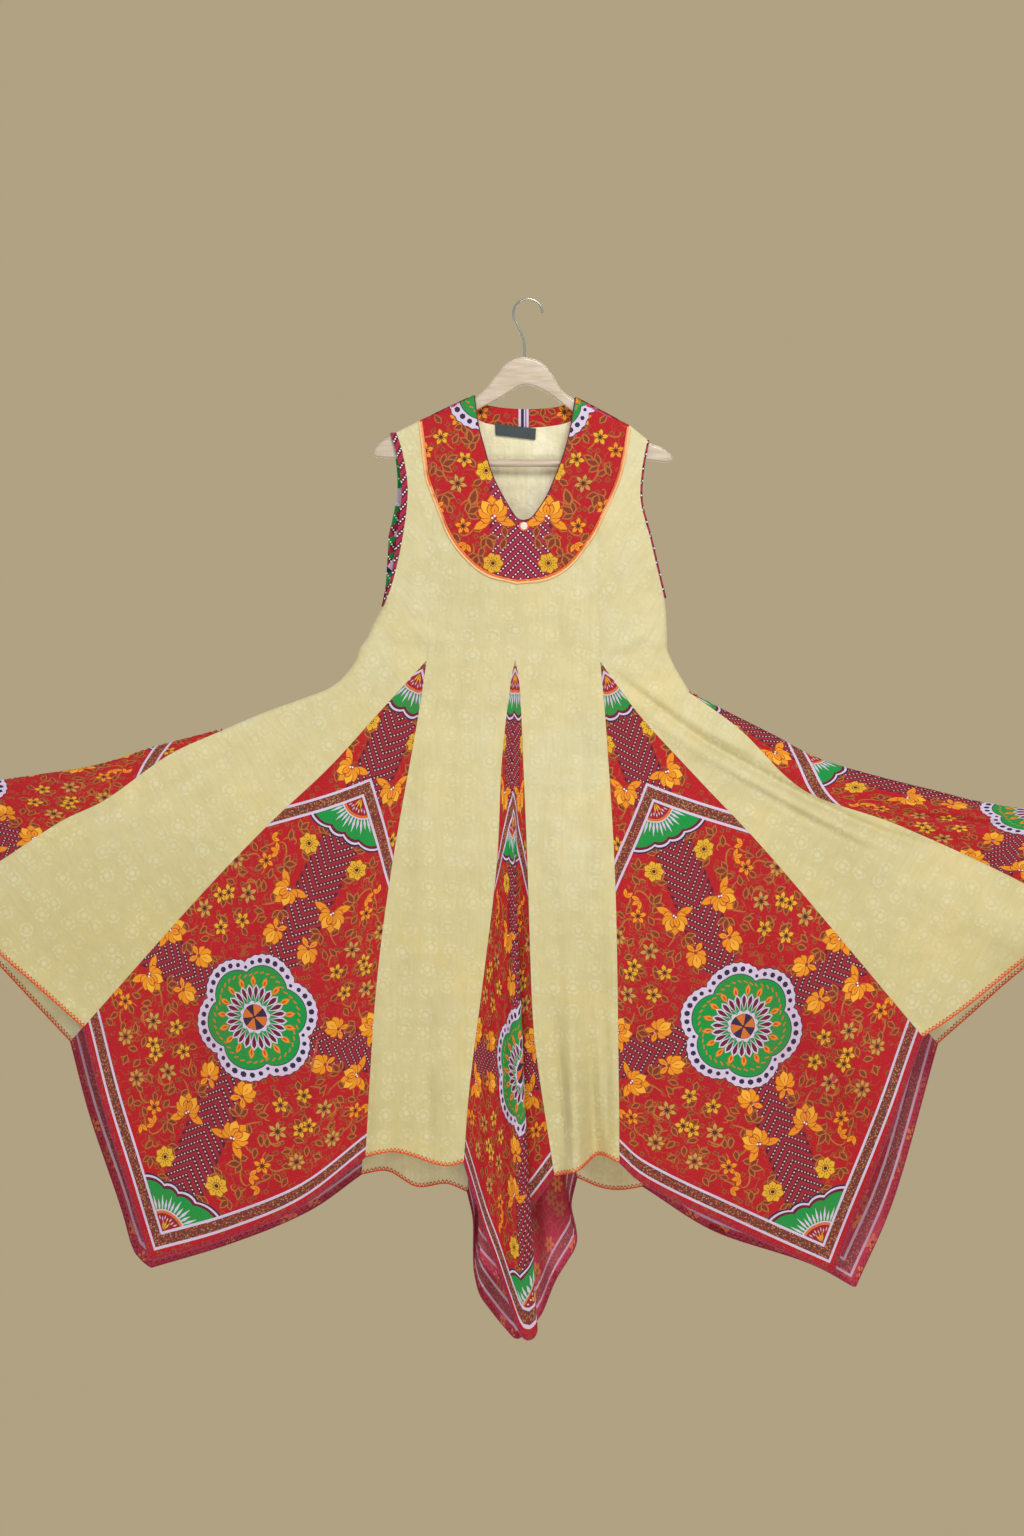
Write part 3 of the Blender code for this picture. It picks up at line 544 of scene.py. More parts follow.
def cloth(name, grid, cut, materials, ring=False, columns=None, wall=WALL):
    """A wall of cloth over a grid: right side, wrong side and edges, closed all round."""
    rows, cols = grid.shape[:2]
    n = outward(grid, ring, columns)
    flat_n = n.reshape(-1, 3)
    points = grid.reshape(-1, 3)
    verts = np.vstack([points + flat_n * wall / 2, points - flat_n * wall / 2])
    index = np.arange(rows * cols).reshape(rows, cols)
    after = np.roll(index, -1, 0) if ring else index[1:]
    before = index if ring else index[:-1]
    a, b, c, d = before[:, :-1], before[:, 1:], after[:, 1:], after[:, :-1]
    front = np.stack([a, b, c, d], axis=-1).reshape(-1, 4)
    probe = points[front]
    face_n = np.cross(probe[:, 1] - probe[:, 0], probe[:, 3] - probe[:, 0])
    if (face_n * flat_n[front[:, 0]]).sum() < 0:
        front = front[:, ::-1]
    back = front[:, ::-1] + rows * cols
    edges = {}
    for quad in front.tolist():
        for p, q in zip(quad, quad[1:] + quad[:1]):
            if not edges.pop((q, p), None):
                edges[(p, q)] = True
    rim = np.array([(q, p, p + rows * cols, q + rows * cols) for p, q in edges])
    faces = np.vstack([front, back, rim])
    slots = np.concatenate([np.zeros(len(front)), np.ones(len(back)), np.zeros(len(rim))])
    uvs = np.tile(cut.reshape(-1, 2), (2, 1))
    normals = np.vstack([flat_n, -flat_n])
    return piece(name, verts, faces, materials, slots, uvs, None, normals)


def turned_ccw(points):
    x, y = points[:, 0], points[:, 1]
    area = (x * np.roll(y, -1) - np.roll(x, -1) * y).sum()
    return points if area > 0 else points[::-1]


def divided(points):
    """The outline with points added along its longer edges."""
    out = []
    for a, b in zip(points, np.roll(points, -1, axis=0)):
        parts = max(int(np.ceil(np.hypot(*(b - a)) / LONGEST_EDGE)), 1)
        out.append(a + np.arange(parts)[:, None] / parts * (b - a))
    return np.vstack(out)


def grid_outline(grid):
    return np.vstack([grid[0], grid[1:, -1], grid[-1, -2::-1], grid[-2:0:-1, 0]])


def triangulate(outline, points, shapes):
    """Flat places, triangles over the outline, and which input points they come from."""
    places = [Vector(p) for p in outline]
    loops = [list(range(len(outline)))]
    for shape in shapes:
        loops.append(list(range(len(places), len(places) + len(shape))))
        places += [Vector(p) for p in shape]
    places += [Vector(p) for p in points]
    out = delaunay_2d_cdt(places, [], loops, 0, 1e-4, True)
    flat = np.array([tuple(v) for v in out[0]])
    tris = np.array([tri for tri in out[2] if len(tri) == 3])
    kept = within(flat[tris].mean(1), outline)
    return flat, tris[kept], out[3]


def within(places, shape):
    """Which places lie inside the shape."""
    x, y = places[:, 0], places[:, 1]
    result = np.zeros(len(places), bool)
    for (x0, y0), (x1, y1) in zip(shape, np.roll(shape, -1, axis=0)):
        if y0 != y1:
            crossed = (y0 > y) != (y1 > y)
            result ^= crossed & (x < (x1 - x0) * (y - y0) / (y1 - y0) + x0)
    return result


def topmost(places, shapes):
    """For each place the last shape that covers it, counted from 1, or 0."""
    order = np.argsort(places[:, 0])
    sorted_places = places[order]
    top = np.zeros(len(places), int)
    for k, shape in enumerate(shapes):
        low, high = shape.min(0), shape.max(0)
        start, end = np.searchsorted(sorted_places[:, 0], (low[0], high[0]))
        near = sorted_places[start:end]
        level = np.where((near[:, 1] >= low[1]) & (near[:, 1] <= high[1]))[0]
        hit = level[within(near[level], shape)]
        top[order[start + hit]] = k + 1
    return top


PATTERNS = {}  # flat prints already cut, since several godets share one cut


def flat_print(cut, motifs, key, both_sides):
    """The print cut into triangles over a flat piece, with its wrong side and its edge."""
    if key in PATTERNS:
        return PATTERNS[key]
    rows, cols = cut.shape[:2]
    index = np.arange(rows * cols).reshape(rows, cols)
    a, b, c, d = index[:-1, :-1], index[:-1, 1:], index[1:, 1:], index[1:, :-1]
    cells = np.concatenate(
        [np.stack([a, b, c], -1).reshape(-1, 3), np.stack([a, c, d], -1).reshape(-1, 3)]
    )
    flat_cut = cut.reshape(-1, 2)
    sheet = BVHTree.FromPolygons([(x, y, 0.0) for x, y in flat_cut.tolist()], cells.tolist())

    def near(shape):
        middle = shape.mean(0)
        size = np.linalg.norm(shape - middle, axis=1).max()
        return sheet.find_nearest((middle[0], middle[1], 0.0), size + 0.1)[0] is not None

    def weights(places):
        """For each flat place, three corners of the grid and their shares."""
        hits = [sheet.find_nearest((x, y, 0.0)) for x, y in places.tolist()]
        cell = cells[[hit[2] for hit in hits]]
        p0, p1, p2 = (flat_cut[cell[:, k]] for k in range(3))
        e1, e2, at = p1 - p0, p2 - p0, np.array([tuple(hit[0])[:2] for hit in hits]) - p0
        det = e1[:, 0] * e2[:, 1] - e1[:, 1] * e2[:, 0]
        s = (at[:, 0] * e2[:, 1] - at[:, 1] * e2[:, 0]) / det
        t = (e1[:, 0] * at[:, 1] - e1[:, 1] * at[:, 0]) / det
        return cell, np.stack([1 - s - t, s, t], axis=1)[..., None]

    shown = [(ink, divided(turned_ccw(shape))) for ink, shape in motifs if near(shape)]
    shapes = [shape for _, shape in shown]
    outline = turned_ccw(grid_outline(cut))
    flat, tris, _ = triangulate(outline, cut[1:-1, 1:-1].reshape(-1, 2), shapes)
    top = topmost(flat[tris].mean(1), shapes)
    used, tris = np.unique(tris, return_inverse=True)
    flat, tris = flat[used], tris.reshape(-1, 3)
    edges = {}
    for tri in tris.tolist():
        for p, q in zip(tri, tri[1:] + tri[:1]):
            if edges.pop((q, p), None) is None:
                edges[(p, q)] = True
    after = {p: q for p, q in edges}
    loop = [next(iter(after))]
    while after[loop[-1]] != loop[0]:
        loop.append(after[loop[-1]])
    if both_sides:
        flat_in, tris_in = flat, tris
        partner = {p: p for p in loop}
    else:
        sparse = cut[1:-1, 1:-1][::WRONG_SIDE_STEP, ::WRONG_SIDE_STEP].reshape(-1, 2)
        flat_in, tris_in, origin = triangulate(flat[loop], sparse, [])
        partner = {loop[i]: j for j, ids in enumerate(origin) for i in ids if i < len(loop)}
    count = len(flat)
    rim = []
    for p, q in zip(loop, loop[1:] + loop[:1]):
        r, s = partner[q] + count, partner[p] + count
        rim += [(q, p, s), (q, s, r)]
    palette = np.array([(*linear(*INKS[ink]), ink in PATTERNED) for ink, _ in [("red", 0)] + shown])
    inner = palette[top] if both_sides else np.tile(palette[0], (len(tris_in), 1))
    edge = np.tile((*linear(*INKS["serged"]), 0), (len(rim), 1))
    slots = np.concatenate([np.zeros(len(tris)), np.ones(len(tris_in)), np.zeros(len(rim))])
    PATTERNS[key] = {
        "out": weights(flat),
        "in": weights(flat_in),
        "pairs": np.array([(partner[p], p) for p in loop]),
        "faces": np.vstack([tris, tris_in[:, ::-1] + count, rim]),
        "inks": np.vstack([palette[top], inner, edge]),
        "slots": slots,
        "uvs": np.vstack([flat, flat_in]) * MM,
    }
    return PATTERNS[key]


def printed(name, grid, cut, motifs, key, materials, columns=None, both_sides=False):
    """Cloth with its print cut in as faces; grid holds the form and cut the flat places."""
    flat = flat_print(cut, motifs, key, both_sides)
    n = outward(grid, False, columns).reshape(-1, 3)
    points = grid.reshape(-1, 3)
    sides = []
    for side in ("out", "in"):
        cell, share = flat[side]
        facing = (n[cell] * share).sum(1)
        facing /= np.linalg.norm(facing, axis=1, keepdims=True)
        sides.append([(points[cell] * share).sum(1), facing])
    (out_points, out_n), (in_points, in_n) = sides
    inner, outer = flat["pairs"].T
    in_points[inner], in_n[inner] = out_points[outer], out_n[outer]
    faces = flat["faces"]
    corner = out_points[faces[: len(faces) // 3]]
    face_n = np.cross(corner[:, 1] - corner[:, 0], corner[:, 2] - corner[:, 0])
    if (face_n * out_n[faces[: len(faces) // 3, 0]]).sum() < 0:
        faces = faces[:, ::-1]
    verts = np.vstack([out_points + out_n * WALL / 2, in_points - in_n * WALL / 2])
    normals = np.vstack([out_n, -in_n])
    return piece(name, verts, faces, materials, flat["slots"], flat["uvs"], flat["inks"], normals)


# Motifs of the print: lists of ink and shape, bottom layer first, in mm
CHEVRON_PITCH, CHEVRON_BAND, DOT_PITCH = 13.6, 7.0, 3.7


def stamp(motif, x=0.0, y=0.0, turn=0.0, flip=False, size=1.0):
    """The motif moved to a place, turned by degrees and mirrored across its own upright."""
    a = math.radians(turn)
    spin = np.array([[math.cos(a), math.sin(a)], [-math.sin(a), math.cos(a)]]) * size
    side = (-1, 1) if flip else (1, 1)
    return [(ink, (shape * side) @ spin + (x, y)) for ink, shape in motif]


def disc(radius, count=8, x=0.0, y=0.0):
    a = np.arange(count) * 2 * math.pi / count + math.pi / count
    return np.column_stack([x + radius * np.cos(a), y + radius * np.sin(a)])


def blade(length, width, count=5, fullness=0.8, base=0.0):
    """A petal or leaf from its foot up to its tip."""
    t = shares(count)
    w = width / 2 * np.sin(math.pi * t**fullness)
    right = np.column_stack([w, base + t * length])
    left = np.column_stack([-w, base + t * length])
    return np.vstack([right[:-1], left[:0:-1]])


def petals(count, inner, outer):
    """The outline of a star."""
    a = np.arange(2 * count) * math.pi / count
    r = np.where(np.arange(2 * count) % 2, inner, outer)
    return np.column_stack([r * np.sin(a), r * np.cos(a)])


def ring_of(count, motif):
    """The motif repeated round the origin."""
    return [part for k in range(count) for part in stamp(motif, turn=360 * k / count)]


def petal(turn, length, width, ink, full=0.85, streak=0.0):
    """One petal with its dark outline, turned clockwise from upright."""
    motif = [
        ("rust", blade(length, width, 4, full)),
        (ink, blade(length - 2.2, width - 2.0, 4, full, 0.8)),
    ]
    if streak:
        motif.append(("throat", blade(length * streak, 1.3, 2, base=length * 0.2)))
    return stamp(motif, turn=turn)


def strip(line, width):
    """A thin drawn line, thick in its middle."""
    line = np.asarray(line, float)
    along = np.gradient(line, axis=0)
    along /= np.linalg.norm(along, axis=1, keepdims=True)
    half = width / 2 * (0.45 + 0.55 * np.sin(math.pi * shares(len(line) - 1)))[:, None]
    away = np.column_stack([-along[:, 1], along[:, 0]]) * half
    return np.vstack([line + away, (line - away)[::-1]])


def bloom(count, radius, ink, width=0.62, full=1.2):
    """A star flower, each petal with a dark vein."""
    one = [
        ("rust", blade(radius, radius * width, 4, full)),
        (ink, blade(radius - 2.2, radius * width - 2, 3, full, 0.8)),
    ]
    heart = [("brown", petals(count, radius * 0.16, radius * 0.5)), ("dark", disc(radius * 0.16, 5))]
    return ring_of(count, one) + heart


def round_flower():
    one = petal(0, 17.2, 12.4, "yellow", 1.7) + [("rust", blade(5, 1.2, 2, base=6))]
    return ring_of(7, one) + [("rust", disc(5.4)), ("yellow", disc(4.2)), ("dark", disc(2.9))]


def lily():
    """A full cup of round petals, with two long pointed ones behind it."""
    motif = []
    for turn, length, width, ink, streak in (
        (114, 31, 13, "gold", 0.5),
        (-114, 31, 13, "gold", 0.5),
        (92, 18, 13, "gold", 0),
        (-92, 18, 13, "gold", 0),
        (56, 24, 17, "gold", 0),
        (-56, 24, 17, "gold", 0),
        (0, 31, 16, "gold", 0),
        (28, 28, 16, "light gold", 0),
        (-28, 28, 16, "light gold", 0),
        (14, 19, 11, "gold", 0.5),
        (-14, 19, 11, "gold", 0.5),
    ):
        motif += petal(turn, length, width, ink, 1.3, streak)
    return motif + [("rust", disc(4.4)), ("white", disc(1.5, 6, -1.6)), ("white", disc(1.5, 6, 1.6, 2.2))]


def tulip():
    """A round body of petals under two small ears."""
    motif = []
    for turn, length, width, ink, streak in (
        (38, 19, 10, "gold", 0.5),
        (-38, 19, 10, "gold", 0.5),
        (108, 17, 13, "gold", 0),
        (-108, 17, 13, "gold", 0),
        (148, 23, 16, "gold", 0),
        (-148, 23, 16, "gold", 0),
        (180, 25, 15, "light gold", 0.45),
    ):
        motif += petal(turn, length, width, ink, 1.35, streak)
    return motif + [("rust", disc(2.8, 6))]


def bud():
    motif = []
    for turn in (54, -54, 0):
        motif += petal(turn, 15.5, 8.4, "gold", 1.0, 0.4)
    return motif


def leaf(length=15.0):
    return [
        ("ochre", blade(length * 1.16, length * 0.66, 3)),
        ("russet", blade(length * 0.9, length * 0.42, 3, base=length * 0.11)),
    ]


def spray():
    """Leaves that spread from one stalk behind the big flowers."""
    motif = []
    for turn, length in ((-52, 17), (52, 17), (0, 20)):
        motif += stamp(leaf(length), turn=turn)
    return motif


def tendril(length, bend, hook=0.0):
    """A thin stem that bends and may end in a curl."""
    t = shares(7)
    a = np.radians(bend) * t + np.radians(hook) * t**4
    step = length / 7 * np.column_stack([np.sin(a), np.cos(a)])
    line = np.vstack([(0, 0), np.cumsum(step, axis=0)])[:-1]
    return [("ochre", strip(line, 2.5))]


def chevrons(first, last, half, inks=("pink", "maroon", "white")):
    """The dotted zigzag band along an arm, its points towards the middle."""
    ground = [(-half, first + 6), (-half, last), (half, last), (half, first + 6)]
    motif, dots = [(inks[0], np.array(ground))], []
    for y in np.arange(first - half, last - half, -CHEVRON_PITCH):
        v = [(-half, y + half), (0, y), (half, y + half)]
        v += [(half, y + half + CHEVRON_BAND), (0, y + CHEVRON_BAND), (-half, y + half + CHEVRON_BAND)]
        motif.append((inks[1], np.array(v)))
        for k in range(int(half / DOT_PITCH)):
            for side in (-1, 1) if k else (1,):
                spot = disc(1.3, 4, side * DOT_PITCH * k, y + CHEVRON_BAND / 2 + DOT_PITCH * k)
                dots.append((inks[2], spot))
    return motif + dots


def corner_fan():
    """A green fan that opens from the corner at the origin, with a scalloped edge."""
    motif = []
    a = np.radians(np.linspace(-45, 45, 33))
    scallop = np.abs(np.sin(4 * (a + math.pi / 4) * 2))
    for ink, grow in (("navy", 5.6), ("pale", 2.8), ("maroon", -0.4), ("green", -5.0)):
        r = (60 + 0 * a) / np.cos(a) ** 0.85 + 4.5 * scallop**0.8 + grow
        edge = np.column_stack([r * np.sin(a), -r * np.cos(a)])
        motif.append((ink, np.vstack([(0, 0), edge])))
    for k in range(-5, 6):
        long = 53 if k % 2 else 47
        motif += stamp([("pale", blade(long - 27, 3.9, 2, 0.6, base=27))], turn=180 + k * 8.2)
    wedge = np.radians(np.linspace(-45, 45, 13))
    for ink, r in (("pale", 31.5), ("orange", 29.8), ("deep red", 26.0)):
        motif.append((ink, np.vstack([(0, 0), np.column_stack([r * np.sin(wedge), -r * np.cos(wedge)])])))
    for k in range(-3, 4):
        motif += stamp([("pale", blade(7, 1.9, 2, base=15 + (k % 2) * 2))], turn=180 + k * 12)
    beam = [("yellow", blade(15, 2.6, 2, base=3)), ("dark", blade(12, 1.2, 1, base=4))]
    for k in (-1, 0, 1):
        motif += stamp(beam, turn=180 + k * 17)
    return motif


def rosette():
    """The round motif at the square's middle: lobed rim, green ring, ring of narrow petals."""
    a = np.arange(96) * math.pi / 48
    lobe = np.abs(np.cos(3 * a)) ** 0.8
    frill = np.arange(96) % 2
    motif = []
    for ink, low, high, wave in (
        ("navy", 82.0, 94.4, 1.8),
        ("pale", 80.6, 93.2, 1.8),
        ("navy", 66.6, 78.2, 0.0),
        ("green", 65.4, 77.0, 0.0),
    ):
        r = low + (high - low) * lobe + wave * frill
        motif.append((ink, np.column_stack([r * np.sin(a), r * np.cos(a)])))
    for k in range(42):
        turn = (k + 0.5) * math.pi / 21
        lobe_at = abs(math.cos(3 * turn))
        r = 73.6 + 11.6 * lobe_at**0.8
        motif.append(("navy", disc(2.8 + 1.8 * lobe_at, 6, r * math.sin(turn), r * math.cos(turn))))
    for k in range(44):
        turn = 360 * k / 44
        r = 60.0 + 6.5 * abs(math.cos(math.radians(3 * turn)))
        motif += stamp([("orange", strip([(-3.0, r - 1.6), (2.6, r + 1.4)], 4.4))], turn=turn)
    drop = [("orange", blade(18, 8.6, 4, 1.1, 43)), ("gold", blade(15.6, 6.4, 4, 1.1, 44))]
    motif += ring_of(17, drop + [("throat", blade(10, 3.2, 3, 1.1, 46))])
    petal_ring = [("pale", blade(30, 10.6, 5, 2.0, 18)), ("maroon", blade(25, 6.4, 5, 2.0, 20.6))]
    motif += ring_of(24, petal_ring)
    motif += ring_of(12, [("pale", disc(4.6, 6, 0, 19.6))])
    motif += [("pale", disc(20.8, 20)), ("navy", disc(18.6, 20))]
    motif += ring_of(4, [("orange", np.array([(0, 0), (-7.4, 16.4), (0, 18.2), (7.4, 16.4)]))])
    return motif + [("dark", disc(2.4, 6))]


def arm():
    """What lies along the way from a corner of the square to its middle, pointing up."""
    motif = chevrons(300, 84, 31, ("plum", "dark plum", "dusty pink"))
    for side in (1, -1):
        for x, y, turn, size in (
            (44, 236, 60, 0.9),
            (62, 262, 20, 0.8),
            (26, 276, -20, 0.8),
            (60, 206, 60, 0.9),
            (56, 164, 100, 0.9),
            (34, 146, 150, 0.9),
            (36, 100, 120, 0.7),
        ):
            motif += stamp(spray(), side * x, y, side * turn, size=size)
        motif += stamp(round_flower(), side * 41, 252, side * 8)
        motif += stamp(lily(), side * 36, 180, 180 + side * 20)
        motif += stamp(tulip(), side * 27, 118, side * 12)
    return motif + stamp(corner_fan(), 0, SQUARE_IN)


# Between two arms, mirrored across the line to the side's middle: across, up from the middle
SCATTER = [
    ("star", 79, 105, 10),
    ("tan star", 89, 142, 40),
    ("tan round", 130, 173, 0),
    ("gold star", 87, 197, 20),
    ("bud", 96, 228, 20),
    ("bud", 76, 218, -100),
    ("star", 118, 128, 30),
]
LEAVES = [  # across, up, turn, length
    (62, 88, 60, 15),
    (98, 90, 80, 15),
    (58, 114, -40, 15),
    (104, 116, 70, 15),
    (70, 126, -70, 15),
    (68, 156, 30, 16),
    (106, 158, 60, 16),
    (114, 144, 100, 15),
    (66, 194, -60, 16),
    (106, 200, 60, 15),
    (112, 186, 110, 15),
    (68, 240, 20, 16),
    (116, 214, 40, 16),
    (148, 190, 40, 15),
    (150, 158, 90, 15),
    (136, 146, 20, 15),
    (110, 240, 70, 15),
    (70, 176, 10, 15),
    (96, 176, -30, 15),
    (126, 198, -10, 15),
    (88, 120, 160, 14),
    (84, 170, 200, 14),
    (118, 160, -60, 14),
    (92, 214, 130, 14),
    (138, 206, 60, 14),
]
TENDRILS = [  # across, up, turn, length, bend, hook
    (64, 108, 20, 34, 60, 150),
    (100, 108, 90, 34, -70, -160),
    (76, 150, -30, 34, 80, 160),
    (102, 150, 40, 42, -60, -170),
    (70, 186, 100, 38, -90, -120),
    (100, 214, 60, 34, 90, 200),
    (118, 150, 10, 40, 50, 170),
    (78, 236, 30, 30, -80, -190),
    (112, 170, -80, 30, 80, 160),
    (140, 168, 120, 30, 70, 150),
    (62, 140, 60, 40, 40, 60),
    (84, 176, 10, 30, 60, 190),
    (122, 180, 30, 36, -40, -170),
    (62, 212, -10, 34, 50, 170),
    (96, 160, 170, 32, 60, 120),
]


def field():
    """One eighth of the ground between the arms, twice over as a mirrored pair."""
    half = []
    for x, y, turn, length, bend, hook in TENDRILS:
        half += stamp(tendril(length, bend, hook), x, y, turn)
    for x, y, turn, length in LEAVES:
        half += stamp(leaf(length), x, y, -turn)
    for kind, x, y, turn in SCATTER:
        half += stamp(FLOWERS[kind](), x, y, turn)
    mirrored = [(ink, shape[:, ::-1]) for ink, shape in half]
    return [part for part in half + mirrored if np.abs(part[1]).sum(1).max() < SQUARE_IN - PALE_LINE]


def diamond(reach):
    return np.array([(0, -reach), (reach, 0), (0, reach), (-reach, 0)], float)


def scarf():
    """The whole square, round its own middle."""
    motif = [
        ("pale", diamond(SQUARE_OUT)),
        ("band", diamond(SQUARE_OUT - PALE_LINE)),
        ("pale", diamond(SQUARE_IN + PALE_LINE)),
        ("red", diamond(SQUARE_IN)),
    ]
    for quarter in range(4):
        motif += stamp(field(), turn=90 * quarter)
    for quarter in range(4):
        motif += stamp(arm(), turn=90 * quarter)
    return motif + stamp(rosette(), 0, -8, 8, size=0.97)


def godet_print():
    """The square below the point, and the corner of the next square in the point itself."""
    up = TIP_CORNER + PALE_LINE
    wide = 40
    tip = stamp(field() + arm(), 0, TIP_CORNER - SQUARE_IN)
    ends = [(-wide, up - wide), (0, up), (wide, up - wide)]
    lower = [(wide, TIP_CORNER - wide), (0, TIP_CORNER), (-wide, TIP_CORNER - wide)]
    tip.append(("band", np.array([(-wide, 10)] + ends + [(wide, 10)], float)))
    tip.append(("pale", np.array(ends + lower, float)))
    return tip + stamp(scarf(), *SQUARE_AT)


FLOWERS = {
    "star": lambda: bloom(5, 13.6, "yellow"),
    "tan star": lambda: bloom(6, 15.6, "tan", 0.5),
    "tan round": lambda: bloom(7, 14.6, "tan", 0.54, 1.7),
    "gold star": lambda: bloom(5, 14.0, "gold"),
    "yellow round": round_flower,
    "bud": bud,
    "spray": spray,
    "lily": lily,
    "tulip": tulip,
}


YOKE_MIDDLE = -11.0
# On the yoke, left half only: across and down in mm from the hook, the mirrored half is added
YOKE_FLOWERS = [
    ("spray", -62, 352, -150),
    ("spray", -90, 318, -60),
    ("spray", -84, 214, 10),
    ("spray", -128, 246, -70),
    ("spray", -126, 288, 200),
    ("spray", -74, 378, 160),
    ("star", -129, 204, 10),
    ("star", -94, 237, 30),
    ("tan star", -104, 273, 15),
    ("yellow round", -62, 254, 0),
    ("gold star", -152, 224, 0),
    ("gold star", -135, 308, 20),
    ("gold star", -96, 336, 5),
    ("bud", -91, 362, 150),
    ("lily", -51, 324, 6),
    ("yellow round", -52, 391, 12),
    ("gold star", -104, 176, 0),
]
YOKE_LEAVES = [  # across, down, turn, length
    (-84, 226, 10, 15),
    (-78, 250, -30, 14),
    (-120, 240, 60, 14),
    (-124, 262, -60, 14),
    (-82, 276, 60, 14),
    (-118, 290, 200, 15),
    (-84, 306, 15, 20),
    (-112, 318, -30, 13),
    (-76, 322, -50, 13),
    (-80, 344, 60, 14),
    (-112, 346, 140, 14),
    (-72, 352, 110, 15),
    (-66, 366, 200, 14),
    (-68, 380, 150, 15),
    (-72, 396, 100, 14),
    (-40, 372, 20, 15),
    (-58, 366, -20, 15),
    (-112, 214, 30, 13),
    (-142, 240, 160, 13),
    (-110, 192, 70, 14),
    (-128, 184, -40, 13),
    (-144, 262, 20, 13),
    (-92, 200, -20, 12),
    (-60, 274, 10, 14),
    (-66, 264, -50, 12),
    (-36, 336, 170, 14),
    (-56, 346, 160, 14),
]
YOKE_TENDRILS = [  # across, down, turn, length, bend, hook
    (-110, 222, 60, 32, 80, 160),
    (-90, 222, -30, 30, -60, -200),
    (-122, 300, 70, 30, 60, 180),
    (-100, 306, -40, 36, 90, 120),
    (-78, 336, 150, 34, 60, 160),
    (-126, 252, 190, 34, -60, -140),
    (-82, 362, 200, 28, 80, 150),
    (-70, 300, 120, 26, 70, 190),
    (-140, 200, 120, 26, 60, 170),
]


def yoke_print():
    """In mm seen from the front: chevrons down the middle, two round motifs at the shoulders."""
    motif = stamp(chevrons(470, 268, 46), YOKE_MIDDLE, 0, 180)
    half = []
    for x, down, turn, length, bend, hook in YOKE_TENDRILS:
        half += stamp(tendril(length, bend, hook), x - YOKE_MIDDLE, -down, turn)
    for x, down, turn, length in YOKE_LEAVES:
        half += stamp(leaf(length * 1.2), x - YOKE_MIDDLE, -down, -turn)
    for kind, x, down, turn in YOKE_FLOWERS:
        size = 1.15 if kind == "lily" else 1.0
        half += stamp(FLOWERS[kind](), x - YOKE_MIDDLE, -down, turn, size=size)
    for flip in (False, True):
        motif += stamp(half, YOKE_MIDDLE, 0, 0, flip)
    for x, down, turn in ((-34, 116, 8), (28, 116, 20)):
        motif += stamp(rosette(), x, -down, turn)
    return motif


BAND_STRIPES = [  # ink, across, width
    ("pale", -14.0, 3.6),
    ("navy", -10.4, 4.4),
    ("pale", -6.0, 2.2),
    ("navy", -3.8, 1.4),
    ("pale", -2.4, 3.4),
]


def neckband_print():
    motif = []
    for k in range(9):
        x = -92 + 21 * k
        motif += stamp(tendril(26, 70, 120), x, -176 - 4 * (k % 2), 60 + 40 * k)
        motif += stamp(leaf(14), x + 8, -168 - 5 * (k % 2), 70 * k) + stamp(leaf(13), x, -180, -50 * k)
    for x, turn in ((-70, 10), (54, 40)):
        motif += stamp(FLOWERS["gold star"](), x, -166, turn)
    for ink, x, width in BAND_STRIPES:
        motif.append((ink, np.array([(x, -200), (x + width, -200), (x + width, -150), (x, -150)])))
    return motif


# Materials


def feed(tree, socket, value):
    """Links a socket to another node's output, or sets it to a value."""
    if isinstance(value, bpy.types.NodeSocket):
        tree.links.new(value, socket)
    else:
        socket.default_value = value


def node(tree, kind, inputs=None, **settings):
    made = tree.nodes.new(kind)
    for key, value in settings.items():
        setattr(made, key, value)
    for key, value in (inputs or {}).items():
        feed(tree, made.inputs[key], value)
    return made


def surface(name, rough, sheen=0.0, metallic=0.0):
    """A material, its node tree and its shader; cloth has a sheen and little gloss."""
    made = bpy.data.materials.new(name)
    made.use_nodes = True
    tree = made.node_tree
    shader = tree.nodes["Principled BSDF"]
    shader.inputs["Roughness"].default_value = rough
    shader.inputs["Metallic"].default_value = metallic
    shader.inputs["Sheen Weight"].default_value = sheen
    shader.inputs["Specular IOR Level"].default_value = 0.2 if sheen else 0.5
    shader.inputs["Sheen Roughness"].default_value = 0.45
    return made, tree, shader


def colour(*screen):
    return (*linear(*screen), 1)


def dyed(ink):
    return colour(*INKS[ink])


def mixed(tree, share, a, b):
    made = node(tree, "ShaderNodeMix", data_type="RGBA", blend_type="MIX")
    for key, value in ((0, share), (6, a), (7, b)):
        feed(tree, made.inputs[key], value)
    return made.outputs[2]


def stepped(tree, value, low, high, to_low=0.0, to_high=1.0):
    """The value from low to high, brought to the range from to_low to to_high."""
    made = node(tree, "ShaderNodeMapRange", {0: value, 1: low, 2: high, 3: to_low, 4: to_high})
    return made.outputs[0]


def maths(tree, operation, *values):
    made = node(tree, "ShaderNodeMath", dict(enumerate(values)), operation=operation)
    return made.outputs[0]


def parted(tree, place):
    """The x, y and z of a place."""
    return node(tree, "ShaderNodeSeparateXYZ", {0: place}).outputs


def stretched(tree, place, *scale):
    return node(tree, "ShaderNodeMapping", {"Vector": place, "Scale": scale}).outputs[0]


def noise(tree, place, scale, detail=2.0, distortion=0.0):
    """Soft uneven shares, in patches about 1 / scale metres wide."""
    inputs = {"Vector": place, "Scale": scale, "Detail": detail, "Distortion": distortion}
    return node(tree, "ShaderNodeTexNoise", inputs).outputs["Fac"]


